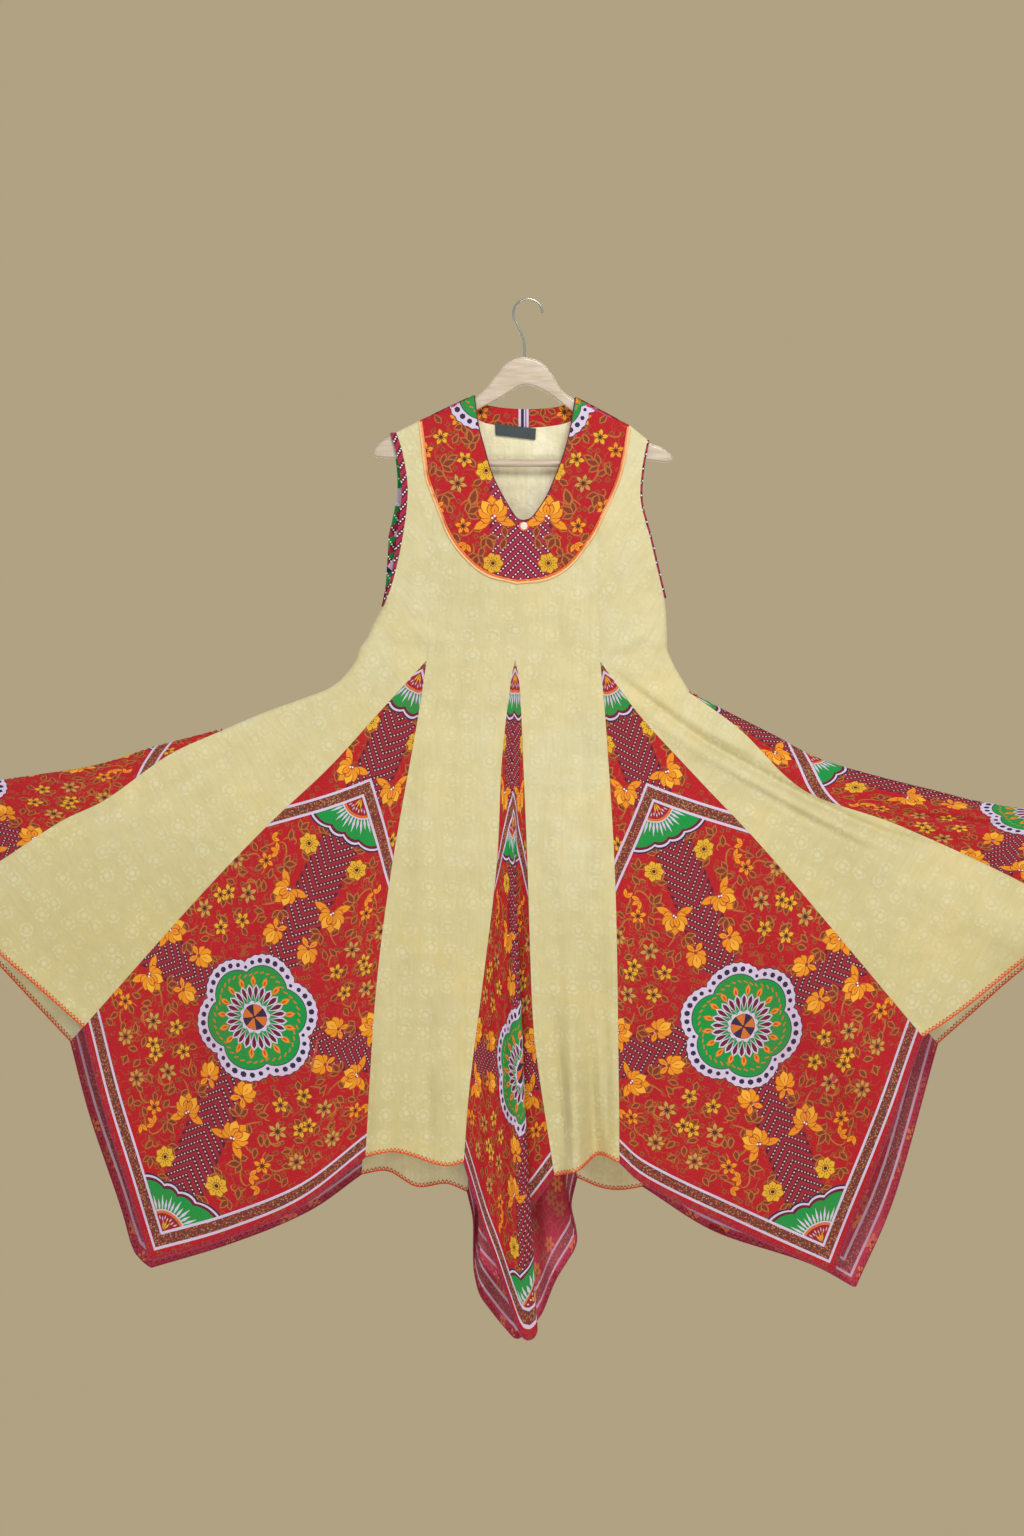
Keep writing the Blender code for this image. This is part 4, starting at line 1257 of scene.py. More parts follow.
def scattered(tree, place, scale, loose=1.0, **settings):
    """Cells about 1 / scale metres wide on the flat cloth, in rows or loose."""
    inputs = {"Vector": place, "Scale": scale, "Randomness": loose}
    made = node(tree, "ShaderNodeTexVoronoi", inputs, voronoi_dimensions="2D", **settings)
    return made.outputs


def solid_place(tree):
    """The place in the part's own frame, in metres."""
    return node(tree, "ShaderNodeTexCoord").outputs["Object"]


def cloth_place(tree, turn=0.0):
    """The flat place on the cloth in metres, turned by degrees."""
    uv = node(tree, "ShaderNodeUVMap", uv_map="Cloth").outputs[0]
    spin = {"Vector": uv, "Rotation": (0, 0, math.radians(turn))}
    return node(tree, "ShaderNodeMapping", spin).outputs[0]


ONE_WAVE = 0.314  # scale at which a wave texture repeats once a metre
SLUB_STRETCHES = ((26, 420, 1), (420, 30, 1))


def weave(tree, place, pitch, uneven=0.5):
    """Height of a plain weave with slubs, for yarns at this pitch in metres."""
    bands = []
    for direction in ("X", "Y"):
        size = {"Vector": place, "Scale": ONE_WAVE / pitch}
        bent = {"Distortion": 0.6, "Detail": 1.0, "Detail Scale": 2.0}
        wave = node(tree, "ShaderNodeTexWave", size | bent, bands_direction=direction)
        bands.append(wave.outputs["Fac"])
    slubs = [noise(tree, stretched(tree, place, *scale), 1.0, 3.0) for scale in SLUB_STRETCHES]
    thick = maths(tree, "MULTIPLY", maths(tree, "ADD", *slubs), uneven)
    return maths(tree, "ADD", maths(tree, "MULTIPLY", *bands), thick)


def bumped(tree, shader, height, distance, strength=1.0):
    bump = node(tree, "ShaderNodeBump", {"Height": height, "Distance": distance, "Strength": strength})
    tree.links.new(bump.outputs[0], shader.inputs["Normal"])


# The grain of the cream cloth's figure in each panel, turned by degrees
GRAIN = {"centre": 0, "left": -35, "right": 30}
CREAM_SHADED_AND_LIT = ((201, 185, 125), (225, 216, 174))  # painted shade below, painted light above
# The wrong side is painted paler than the right side, as painted light where the layers shade each other
CREAM_WRONG_SIDE_PAINTED_LIGHT = ((250, 238, 188), (250, 244, 212))
CENTRE_SHADE_TO_LIGHT, WING_SHADE_TO_LIGHT = (-1.3, -0.72), (-1.0, -0.5)  # heights where the painted shade below turns to painted light above


def woven_figure(tree, place):
    """Share of the figure: an eye in a broken ring, in a loose half-drop repeat."""
    away = scattered(tree, place, 32.0, 0.48)["Distance"]
    eye = stepped(tree, away, 0.07, 0.17, 1.0, 0.0)
    ring_out = stepped(tree, away, 0.3, 0.38, 1.0, 0.0)
    ring = maths(tree, "MULTIPLY", stepped(tree, away, 0.19, 0.27), ring_out)
    parts = scattered(tree, place, 170.0, 0.8)["Distance"]
    ring = maths(tree, "MULTIPLY", ring, stepped(tree, parts, 0.25, 0.6, 1.0, 0.0))
    worn = stepped(tree, noise(tree, place, 17.0), 0.3, 0.7, 0.25, 1.0)
    return maths(tree, "MULTIPLY", maths(tree, "MAXIMUM", eye, ring), worn)


def cream_material(name, turn, wrong_side=False):
    """Cream cotton with a small woven figure, a little yellowed and uneven, and darker towards the bottom as
    painted shade.
    """
    made, tree, shader = surface(name, 0.85, 0.06)
    place = cloth_place(tree, turn)
    patchy = stepped(tree, noise(tree, place, 2.6, 3.0), 0.3, 0.7, 0.0, 0.5)
    # Painted shade and light: the cloth turns darker towards the bottom by its height, higher up on the wings
    up = parted(tree, solid_place(tree))[2]
    painted_light_share = stepped(tree, up, *(WING_SHADE_TO_LIGHT if turn else CENTRE_SHADE_TO_LIGHT), 0.0, 0.5)
    painted_shade_colour, clear = CREAM_WRONG_SIDE_PAINTED_LIGHT if wrong_side else CREAM_SHADED_AND_LIT
    base = mixed(tree, maths(tree, "ADD", patchy, painted_light_share), colour(*painted_shade_colour), colour(*clear))
    warm = noise(tree, place, 5.5, 5.0, 0.8)
    base = mixed(tree, stepped(tree, warm, 0.46, 0.66, 0.0, 0.5), base, colour(228, 206, 140))
    slow = noise(tree, place, 24.0, 4.0)
    base = mixed(tree, stepped(tree, slow, 0.4, 0.7, 0.0, 0.4), base, colour(200, 187, 132))
    threads = noise(tree, stretched(tree, place, 190, 22, 1), 1.0, 4.0)
    base = mixed(tree, stepped(tree, threads, 0.4, 0.75, 0.0, 0.2), base, colour(184, 170, 116))
    figure = woven_figure(tree, place)
    figure_pale = maths(tree, "MULTIPLY", figure, 0.2 if wrong_side else 0.42)
    base = mixed(tree, figure_pale, base, colour(232, 229, 196))
    tree.links.new(base, shader.inputs["Base Color"])
    puckers = maths(tree, "MULTIPLY", noise(tree, place, 55.0, 3.0), 9.0)
    height = maths(tree, "ADD", weave(tree, place, 1.1 * MM), maths(tree, "MULTIPLY", figure, 1.4))
    bumped(tree, shader, maths(tree, "ADD", height, puckers), 0.36 * MM, 0.9)
    return made


BAND_SPECKS = [  # share of the specks from which each colour starts
    (0.0, (70, 84, 56)),
    (0.3, (170, 84, 44)),
    (0.6, (176, 132, 88)),
    (0.78, (140, 44, 48)),
    (1.0, (90, 56, 50)),
]


def specked(tree, place, base, share):
    """The base colour with fine specks where the share says so, as in the borders."""
    speck = scattered(tree, place, 330.0)
    tint = node(tree, "ShaderNodeValToRGB", {"Fac": speck["Color"]})
    ramp = tint.color_ramp
    ramp.interpolation = "CONSTANT"
    first, *between, last = BAND_SPECKS
    ramp.elements[0].color = colour(*first[1])
    ramp.elements[1].color = colour(*last[1])
    for start, screen in between:
        ramp.elements.new(start).color = colour(*screen)
    near = stepped(tree, speck["Distance"], 0.3, 0.42, 1.0, 0.0)
    return mixed(tree, maths(tree, "MULTIPLY", near, share), base, tint.outputs[0])


def undergrowth(tree, place, ink):
    """Thin twigs and small leaves on the red ground, between the motifs of the mesh."""
    inputs = {0: ink, 1: linear(*INKS["red"])}
    apart = node(tree, "ShaderNodeVectorMath", inputs, operation="DISTANCE").outputs["Value"]
    ground = stepped(tree, apart, 0.01, 0.03, 1.0, 0.0)
    winding = maths(tree, "SUBTRACT", noise(tree, place, 34.0, 1.0, 1.2), 0.5)
    twig = stepped(tree, maths(tree, "ABSOLUTE", winding), 0.006, 0.014, 0.7, 0.0)
    base = mixed(tree, maths(tree, "MULTIPLY", twig, ground), ink, dyed("twig"))
    leaves = scattered(tree, place, 72.0, distance="MANHATTAN")
    grown = maths(tree, "MULTIPLY", ground, stepped(tree, leaves["Color"], 0.45, 0.46))
    for reach, name in ((0.34, "twig"), (0.22, "russet")):
        leaf_near = stepped(tree, leaves["Distance"], reach - 0.06, reach, 0.9, 0.0)
        base = mixed(tree, maths(tree, "MULTIPLY", leaf_near, grown), base, dyed(name))
    return base


SHOWN_PETALS, SHOWN_BETWEEN, SHOWN_EYE = 12.5 * MM, 4.5 * MM, 2.6 * MM  # reach from the middle


def through_print(tree, place):
    """Colour and specked share of a scarf square as it shows through: borders and loose blooms."""
    twigs = scattered(tree, place, 70.0, feature="DISTANCE_TO_EDGE")["Distance"]
    base = mixed(tree, stepped(tree, twigs, 0.05, 0.12, 0.6, 0.0), dyed("red"), dyed("twig"))
    blooms = scattered(tree, place, 27.0)
    inputs = {0: place, 1: blooms["Position"]}
    away = node(tree, "ShaderNodeVectorMath", inputs, operation="SUBTRACT").outputs[0]
    far = node(tree, "ShaderNodeVectorMath", {0: away}, operation="LENGTH").outputs["Value"]
    spoke = parted(tree, away)
    turn = maths(tree, "MULTIPLY", maths(tree, "ARCTAN2", spoke[1], spoke[0]), 3.0)
    petal_share = maths(tree, "ABSOLUTE", maths(tree, "COSINE", turn))
    petal_reach = stepped(tree, petal_share, 0.0, 1.0, SHOWN_BETWEEN, SHOWN_PETALS)
    bloom_near = maths(tree, "MULTIPLY", maths(tree, "LESS_THAN", far, petal_reach), 0.8)
    hue = stepped(tree, blooms["Color"], 0.4, 0.41)
    base = mixed(tree, bloom_near, base, mixed(tree, hue, dyed("gold"), dyed("ochre")))
    base = mixed(tree, maths(tree, "LESS_THAN", far, SHOWN_EYE), base, dyed("russet"))
    across, down, _ = parted(tree, place)
    down = maths(tree, "ADD", down, -SQUARE_AT[1] * MM)
    reach = maths(tree, "ADD", maths(tree, "ABSOLUTE", across), maths(tree, "ABSOLUTE", down))
    lines, bands = (SQUARE_IN, SQUARE_OUT), (SQUARE_IN + PALE_LINE, SQUARE_OUT - PALE_LINE)
    for (low, high), ink in ((lines, "pale"), (bands, "band")):
        past = maths(tree, "GREATER_THAN", reach, low * MM)
        inside = maths(tree, "MULTIPLY", past, maths(tree, "LESS_THAN", reach, high * MM))
        base = mixed(tree, inside, base, dyed(ink))
    return base, inside


def print_material(name="printed cotton", faded=0.0, drawn=False):
    """Inks from the mesh; on the wrong side they show through faded, drawn or as in the mesh."""
    made, tree, shader = surface(name, 0.72, 0.03)
    place = cloth_place(tree)
    if drawn:
        base, share = through_print(tree, place)
    else:
        ink = node(tree, "ShaderNodeVertexColor", layer_name="Print").outputs
        base, share = undergrowth(tree, place, ink["Color"]), ink["Alpha"]
    base = specked(tree, place, base, share)
    slow = noise(tree, place, 9.0, 4.0)
    base = mixed(tree, stepped(tree, slow, 0.4, 0.75, 0.0, 0.2), base, colour(130, 12, 32))
    if faded:
        # The pink is partly the print showing through paler, partly painted light for the shade between the
        # layers
        faded_and_lit = stepped(tree, slow, 0.3, 0.7, faded * 0.6, faded * 1.4)
        base = mixed(tree, faded_and_lit, base, colour(204, 84, 118))
    lint = noise(tree, place, 700.0, 1.0)
    base = mixed(tree, stepped(tree, lint, 0.5, 0.8, 0.0, 0.07), base, colour(235, 200, 190))
    tree.links.new(base, shader.inputs["Base Color"])
    bumped(tree, shader, weave(tree, place, 0.8 * MM, 0.4), 0.16 * MM, 0.6)
    return made


BIAS_PITCH, BIAS_DOT_PITCH = 12.5 * MM, 4.5 * MM
BIAS_PATCHES = ((0.3, "green"), (0.5, "navy"), (0.62, "pale"), (0.8, "deep red"))


def binding_material(name, slant, wrong_side=False):
    """Slanting stripes cut on the bias from the print's zigzag, with a row of dots in each."""
    made, tree, shader = surface(name, 0.75, 0.03)
    place = cloth_place(tree, slant)
    across, along, _ = parted(tree, place)
    turn = maths(tree, "FRACT", maths(tree, "DIVIDE", across, BIAS_PITCH))
    stripe = stepped(tree, maths(tree, "PINGPONG", turn, 0.5), 0.2, 0.26)
    dot_row = maths(tree, "FRACT", maths(tree, "DIVIDE", along, BIAS_DOT_PITCH))
    off_row = maths(tree, "SUBTRACT", turn, 0.5)
    off_dot = maths(tree, "SUBTRACT", dot_row, 0.5)
    off_dot = maths(tree, "MULTIPLY", off_dot, BIAS_DOT_PITCH / BIAS_PITCH)
    off = maths(tree, "ADD", maths(tree, "ABSOLUTE", off_row), maths(tree, "ABSOLUTE", off_dot))
    base = mixed(tree, stripe, dyed("pink"), dyed("maroon"))
    if wrong_side:
        hue = scattered(tree, stretched(tree, place, 40, 75, 1), 1.0)["Color"]
        for limit, ink in BIAS_PATCHES:
            base = mixed(tree, stepped(tree, hue, limit, limit + 0.01), base, dyed(ink))
    base = mixed(tree, stepped(tree, off, 0.09, 0.13, 1.0, 0.0), base, dyed("white"))
    tree.links.new(base, shader.inputs["Base Color"])
    bumped(tree, shader, weave(tree, place, 0.8 * MM, 0.4), 0.14 * MM, 0.6)
    return made


def thread_material(name, screen, other):
    made, tree, shader = surface(name, 0.55, 0.15)
    fine = noise(tree, solid_place(tree), 900.0)
    base = mixed(tree, stepped(tree, fine, 0.35, 0.65), colour(*screen), colour(*other))
    tree.links.new(base, shader.inputs["Base Color"])
    return made


def wood_material():
    """Pale wood with its grain along the hanger, under a thin lacquer."""
    made, tree, shader = surface("pale lacquered wood", 0.38)
    place = solid_place(tree)
    rings = noise(tree, stretched(tree, place, 6, 60, 60), 2.2, 6.0, 1.4)
    pores = noise(tree, stretched(tree, place, 40, 900, 900), 1.0)
    light_wood, dark_wood = colour(202, 186, 166), colour(184, 162, 136)
    base = mixed(tree, stepped(tree, rings, 0.35, 0.68), light_wood, dark_wood)
    base = mixed(tree, stepped(tree, pores, 0.55, 0.8, 0.0, 0.4), base, colour(158, 130, 104))
    tree.links.new(base, shader.inputs["Base Color"])
    shader.inputs["Coat Weight"].default_value = 0.3
    bumped(tree, shader, pores, 0.1 * MM, 0.3)
    return made


def steel_material():
    made, tree, shader = surface("plated wire", 0.28, 0.0, 1.0)
    drawn = noise(tree, solid_place(tree), 300.0)
    base = mixed(tree, drawn, colour(150, 150, 146), colour(182, 180, 172))
    tree.links.new(base, shader.inputs["Base Color"])
    bumped(tree, shader, drawn, 0.05 * MM, 0.4)
    return made


def pearl_material():
    made, tree, shader = surface("pearl pink button", 0.2)
    cloud = noise(tree, solid_place(tree), 220.0)
    base = mixed(tree, cloud, colour(238, 196, 184), colour(246, 226, 216))
    tree.links.new(base, shader.inputs["Base Color"])
    shader.inputs["Coat Weight"].default_value = 0.6
    return made


def label_material():
    made, tree, shader = surface("dark woven tape", 0.7, 0.1)
    fine = noise(tree, stretched(tree, solid_place(tree), 900, 900, 2600), 1.0)
    base = mixed(tree, fine, colour(46, 54, 56), colour(80, 88, 88))
    tree.links.new(base, shader.inputs["Base Color"])
    bumped(tree, shader, fine, 0.1 * MM, 0.6)
    return made


# Each cloth has a right side and a wrong side
CREAM = {
    turn: [
        cream_material(f"cream cotton {turn}", turn),
        cream_material(f"cream cotton wrong side {turn}", turn, True),
    ]
    for turn in GRAIN.values()
}
PRINT, PRINT_BACK = print_material(), print_material("printed cotton, wrong side", 0.5)
PRINT_THROUGH = print_material("printed cotton, seen through", 0.3, True)
BINDING = {
    side: [
        binding_material(f"binding {side}", slant),
        binding_material(f"binding {side} wrong side", slant, True),
    ]
    for side, slant in (("left", 38), ("right", -38))
}
ORANGE = thread_material("orange thread", (222, 92, 28), (244, 146, 66))
HEM_ORANGE = thread_material("red orange hem thread", (206, 58, 14), (238, 104, 34))
PEACH = thread_material("peach thread", (250, 186, 124), (255, 214, 160))
SERGING = thread_material("dark red serging", (140, 22, 52), (176, 52, 84))
PIPING = thread_material("dark neck edge", (84, 18, 48), (120, 34, 60))
STEEL, WOOD, PEARL, TAPE = steel_material(), wood_material(), pearl_material(), label_material()


# Pieces of the kurti


def back_seam(points, front_end, back_end):
    """A front seam's points, moved more and more until its end is at the back's."""
    move = np.subtract(back_end, front_end)
    low = points[0][1]
    return [
        tuple(np.array(p) + move * ((p[1] - low) / (front_end[1] - low)) ** 1.5) for p in points
    ]


def routes(face, side):
    """The routes of one side's skirt seams, as tables of points, with its hem."""
    outer, inner, centre = OUTER_SEAM[side], INNER_SEAM[side], CENTRE_SEAM[side]
    wing, hem = WING_TOP[side], HEM[side]
    if face == "back":
        long = BACK_HEM[side]
        outer = back_seam(outer, hem["wing"][-1], long["wing"][-1])
        inner = back_seam(inner, hem["godet inner"][-1], long["godet inner"][-1])
        centre = back_seam(centre, hem["centre"][-1], long["centre"][-1])
        wing = back_seam(wing, hem["wing"][0], long["wing"][0])
        hem = long
    return {"outer": outer, "inner": inner, "centre": centre, "wing": wing, "hem": hem}


def show(made, slot, *nodes, **sheet):
    """Hides the part's own meshes that a piece of cloth stands for; its slot and the flat sheet it was cut as
    are not used.
    """
    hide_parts(*nodes)


def flat_size(cut):
    """Width, length and area in metres of a flat cut, in the smallest box that holds it."""
    line = grid_outline(cut)
    boxes = []
    for degrees in range(0, 180, 5):
        a = math.radians(degrees)
        size = np.ptp(line @ [[math.cos(a), -math.sin(a)], [math.sin(a), math.cos(a)]], axis=0)
        boxes.append((float(size.prod()), float(size[0]), float(size[1])))
    x, y = line[:, 0], line[:, 1]
    area = abs((x * np.roll(y, -1) - np.roll(x, -1) * y).sum()) / 2
    return min(boxes)[1:], float(area)


def cream_piece(name, places, face, turn):
    grid = inset(raised(face, places))
    size, area = flat_size(places)
    made = cloth(name, grid, places, CREAM[turn])
    show(made, "cream_cloth", name.replace(" ", "_"), flat=size, area=area)
    return grid


# What shows of each godet's cut, in metres and square metres
KITE_SIZE, KITE_AREA = (0.484, 0.964), 0.233
CENTRE_SHOWN = {"front": ((0.35, 0.96), 0.172), "back": ((0.28, 0.96), 0.145)}
SIDE_SHOWN = {"left": 1.0, "right": 0.9}  # share of the cut that the folded wing shows
HEMS = []  # for the sewing: edge line, the line beside it, thread, name


def side_panel(face, side):
    line = routes(face, side)
    lengths = [line_length(curve(points, shares(20))) for points in (WING_TUCK[side], line["wing"])]
    tuck_rows = round(SKIRT_ROWS * lengths[0] / sum(lengths))
    outer = joined(
        curve(ARMHOLE[side], crowded(ARMHOLE_ROWS, 1.4)),
        curve(SIDE[side], shares(BODY_ROWS - ARMHOLE_ROWS)),
        curve(WING_TUCK[side], shares(tuck_rows)),
        curve(line["wing"], shares(SKIRT_ROWS - tuck_rows)),
    )
    if face == "front":
        upper = curve(YOKE_UPPER[side], crowded(YOKE_ROWS))
        body = joined(upper, curve(PRINCESS[side], shares(BODY_ROWS - YOKE_ROWS)))
    else:
        body = curve(BACK_PRINCESS[side], crowded(BODY_ROWS))
    inner = joined(body, curve(line["outer"], shares(SKIRT_ROWS)))
    across = np.concatenate([EDGE_COLUMNS, np.linspace(0.065, 1, PANEL_COLUMNS[face])])
    top = outer[0] + across[:, None] * (inner[0] - outer[0])
    foot = curve(line["hem"]["wing"], across)
    places = patch(top, foot, outer, inner, across)
    grid = cream_piece(f"{face} side panel {side}", places, face, GRAIN[side])
    HEMS.append((grid[-1], grid[-2], HEM_ORANGE, f"hem stitches {face} wing {side}"))


def centre_panel(face, side):
    line = routes(face, side)
    if face == "front":
        body = curve(PRINCESS[side], shares(BODY_ROWS - YOKE_ROWS))
        middle = curve(CENTRE_FRONT, shares(BODY_ROWS - YOKE_ROWS))
        top = curve(YOKE_LOWER[side], shares(CENTRE_COLUMNS))
    else:
        body = curve(BACK_PRINCESS[side], crowded(BODY_ROWS))
        middle = curve(CENTRE_BACK, crowded(BODY_ROWS))
        foot_at = BAND_FOOT if side == "left" else BAND_FOOT[::-1]
        foot_end = foot_at.index(CENTRE_BACK[0])
        half = CENTRE_COLUMNS // 2
        top = joined(
            curve([BACK_SEAM_AT[side], foot_at[0]], shares(half)),
            curve(foot_at[: foot_end + 1], shares(CENTRE_COLUMNS - half)),
        )
    outer = joined(body, curve(line["inner"], shares(SKIRT_ROWS)))
    inner = joined(middle, curve(line["centre"], shares(SKIRT_ROWS)))
    foot = curve(line["hem"]["centre"], shares(len(top) - 1))
    places = patch(top, foot, outer, inner)
    grid = cream_piece(f"{face} centre panel {side}", places, face, GRAIN["centre"])
    HEMS.append((grid[-1], grid[-2], HEM_ORANGE, f"hem stitches {face} centre {side}"))


def kite_cut(rows, columns, first=0.0):
    """Flat places of a godet's grid: rows from its point, columns from seam to seam."""
    v = np.linspace(first, 1, rows)[:, None, None]
    left, tip, right = np.array(GODET_CUT[1:], float)
    u = shares(columns)[:, None]
    foot = np.where(u < 0.5, left + 2 * u * (tip - left), tip + (2 * u - 1) * (right - tip))
    return v * foot[None]


PRINTED = godet_print()
GODET_CLOTHS = [PRINT, PRINT_THROUGH]


def godet(face, side):
    line = routes(face, side)
    down = np.linspace(FIRST_SKIRT_ROW, 1, GODET_ROWS)
    outer, inner = curve(line["outer"], down), curve(line["inner"], down)
    half = shares(GODET_COLUMNS // 2)
    top = outer[0] + shares(GODET_COLUMNS)[:, None] * (inner[0] - outer[0])
    foot = joined(curve(line["hem"]["godet outer"], half), curve(line["hem"]["godet inner"], half))
    grid = inset(raised(face, patch(top, foot, outer, inner)))
    cut = kite_cut(GODET_ROWS, GODET_COLUMNS, FIRST_SKIRT_ROW)
    made = printed(f"{face} godet {side}", grid, cut, PRINTED, "godet", GODET_CLOTHS)
    show(made, "printed_cloth", f"{face}_godet_{side}", flat=KITE_SIZE, area=KITE_AREA)
    HEMS.append((grid[-1], grid[-2], SERGING, f"hem stitches {face} godet {side}"))


def smoothed(values, width):
    """A running mean that keeps both ends."""
    before = 2 * values[0] - values[width:0:-1]
    after = 2 * values[-1] - values[-2 : -width - 2 : -1]
    kernel = np.bartlett(2 * width + 3)[1:-1]
    return np.convolve(np.concatenate([before, values, after]), kernel / kernel.sum(), "valid")


def centre_godet(face):
    """Flat at its point and folded into the pleats of the table at its hem."""
    down = np.linspace(FIRST_CENTRE_ROW, 1, GODET_ROWS)
    left, right = (curve(routes(face, side)["centre"], down) for side in ("left", "right"))
    table = np.array(CENTRE_PLEATS[face])
    u = shares(CENTRE_GODET_COLUMNS)
    soft = [smoothed(np.interp(u, table[:, 0], table[:, k]), 3) for k in range(1, 5)]
    place, behind, hem_x, hem_down = soft
    v = shares(GODET_ROWS - 1)[:, None]
    t = np.clip((v - PLEAT_FROM) / (PLEAT_FULL - PLEAT_FROM), 0, 1)
    folded = t * t * (3 - 2 * t)
    across = (1 - folded) * u + folded * place
    grid = left[:, None] + across[..., None] * (right - left)[:, None]
    hem = np.column_stack([hem_x, -hem_down]) * MM
    grid = grid + (v**3)[..., None] * (hem - grid[-1])
    points = raised(face, grid)
    sign = 1 if face == "front" else -1
    points[..., 1] += sign * folded * behind * MM
    points = inset(points)
    steps = np.linalg.norm(np.diff(points, axis=0), axis=2)
    run = np.vstack([np.zeros(len(u)), np.cumsum(steps, axis=0)])
    reach = down[0] + (1 - down[0]) * run / run[-1]
    cut = kite_cut(2, CENTRE_GODET_COLUMNS)[1] * reach[..., None]
    name = f"{face} godet centre"
    outer_columns = CENTRE_GODET_COLUMNS * 2 // 5
    made = printed(name, points, cut, PRINTED, name, GODET_CLOTHS, outer_columns)
    size, area = CENTRE_SHOWN[face]
    show(made, "printed_cloth", f"{face}_godet_centre", flat=size, area=area)
    HEMS.append((points[-1], points[-2], SERGING, f"hem stitches {face} godet centre"))


def side_godet(side):
    """Two leaves, front and back, that meet in a fold along the middle of the cut."""
    fold = curve(SIDE_FOLD[side], shares(GODET_ROWS))
    share = (1 - (1 - shares(SIDE_GODET_COLUMNS)) ** 1.7)[None, :, None]
    leaves = []
    for face in ("front", "back"):
        seam = curve(routes(face, side)["wing"], shares(GODET_ROWS))
        sheet = raised(face, seam[:, None] + share * (fold - seam)[:, None])
        sheet[:, -1, 1] = 0
        leaves.append(sheet)
    grid = inset(np.concatenate([leaves[0], leaves[1][:, -2::-1]], axis=1))
    start, end = (np.array(p, float) for p in SIDE_CUT[side])
    v = shares(GODET_ROWS)[:, None, None]
    sign = 1 if side == "left" else -1
    cuts = []
    for way in (sign, -sign):
        corner = np.array((way * -GODET_CUT[1][0], GODET_CUT[1][1]))
        edge, middle = start + v * (corner - start), start + v * (end - start)
        cuts.append(edge + share * (middle - edge))
    cut = np.concatenate([cuts[0], cuts[1][:, -2::-1]], axis=1)
    # The point keeps a little width, so that no triangle of the cut is empty
    cut[0, :, 0] += np.linspace(0.4, -0.4, cut.shape[1]) * sign
    front_columns = SIDE_GODET_COLUMNS * 9 // 10
    made = printed(f"side godet {side}", grid, cut, PRINTED, f"side {side}", GODET_CLOTHS, front_columns)
    size, area = flat_size(cut * MM)
    show(made, "printed_cloth", f"side_godet_{side}", flat=size, area=area * SIDE_SHOWN[side])
    HEMS.append((grid[-1], grid[-2], SERGING, f"hem stitches side godet {side}"))


NECK_SPLIT = 0.55  # share of the neck's edge beside the yoke's upper rows


def yoke_edges(side):
    """The yoke's outer edge and neck edge on one side, row by row."""
    upper, rows = crowded(YOKE_UPPER_ROWS), YOKE_UPPER_ROWS + YOKE_LOWER_ROWS
    out = joined(curve(YOKE_UPPER[side], upper), curve(YOKE_LOWER[side], shares(YOKE_LOWER_ROWS)))
    at = np.interp(shares(rows), [0, YOKE_UPPER_ROWS / rows, 1], [0, NECK_SPLIT, 1])
    at[: YOKE_UPPER_ROWS + 1] = NECK_SPLIT * upper
    return out, curve(NECK[side] + [NECK_POINT], at)


def yoke():
    across = shares(16)[None, :, None]
    halves = []
    for side in ("left", "right"):
        out, neck = yoke_edges(side)
        halves.append(neck[:, None] + across * (out - neck)[:, None])
    places = np.concatenate([halves[0], halves[1][-2::-1]])
    grid = inset(raised("front", places))
    made = printed("front yoke", grid, places / MM, yoke_print(), "yoke", [PRINT, PRINT_BACK])
    size, area = flat_size(places)
    show(made, "printed_cloth", "front_yoke", flat=size, area=area)


def neckband():
    middle = BAND_FOOT.index(CENTRE_BACK[0])
    half = crowded(24)
    ends = np.concatenate([half / 2, 1 - (half / 2)[-2::-1]])
    foot = joined(curve(BAND_FOOT[: middle + 1], half), curve(BAND_FOOT[middle:], 1 - half[::-1]))
    top = curve(BAND_TOP, ends)
    rows = shares(8)[:, None, None]
    places = top[None] + rows * (foot - top)[None]
    grid = inset(raised("back", places))
    cloths = [PRINT, PRINT]
    made = printed("back neckband", grid, places / MM, neckband_print(), "band", cloths, both_sides=True)
    size, area = flat_size(places)
    show(made, "printed_cloth", "back_neckband", flat=size, area=area)


def armhole_binding(side):
    """A narrow strip round the whole armhole, past the edges of the front and back panels."""
    way = -1 if side == "left" else 1
    across = shares(4)
    strips = []
    for face in ("front", "back"):
        edge = curve(ARMHOLE[side], crowded(60, 1.3))
        down, reach = np.array(BINDING_OUT[side][face]).T * MM
        width = np.interp(-edge[:, 1], down, reach)
        inner = edge + (way * BINDING_GAP, 0)
        out = np.stack([way * width, 0 * width], -1)
        places = inner[:, None] + across[None, :, None] * out[:, None]
        deep = np.repeat(half_depth(face, edge)[:, None], len(across), 1)
        sign = -1 if face == "front" else 1
        strips.append(np.stack([places[..., 0], sign * deep, places[..., 1]], axis=-1))
        strips[-1][[0, -1], :, 1] = 0
    grid = np.concatenate([strips[0], strips[1][-2:0:-1]])
    run = run_along(grid[:, 2])
    width = np.linalg.norm(grid[:, -1] - grid[:, 0], axis=1)
    cut = np.stack([np.outer(width, across), np.repeat(run[:, None], len(across), 1)], -1)
    made = cloth(f"armhole binding {side}", grid, cut, BINDING[side], ring=True)
    long = float(run[-1])
    area = float((width * np.gradient(run)).sum())
    size = (max(area / long, NARROWEST), long)
    show(made, "printed_cloth", f"armhole_binding_{side}", flat=size, area=area)


# Sewing

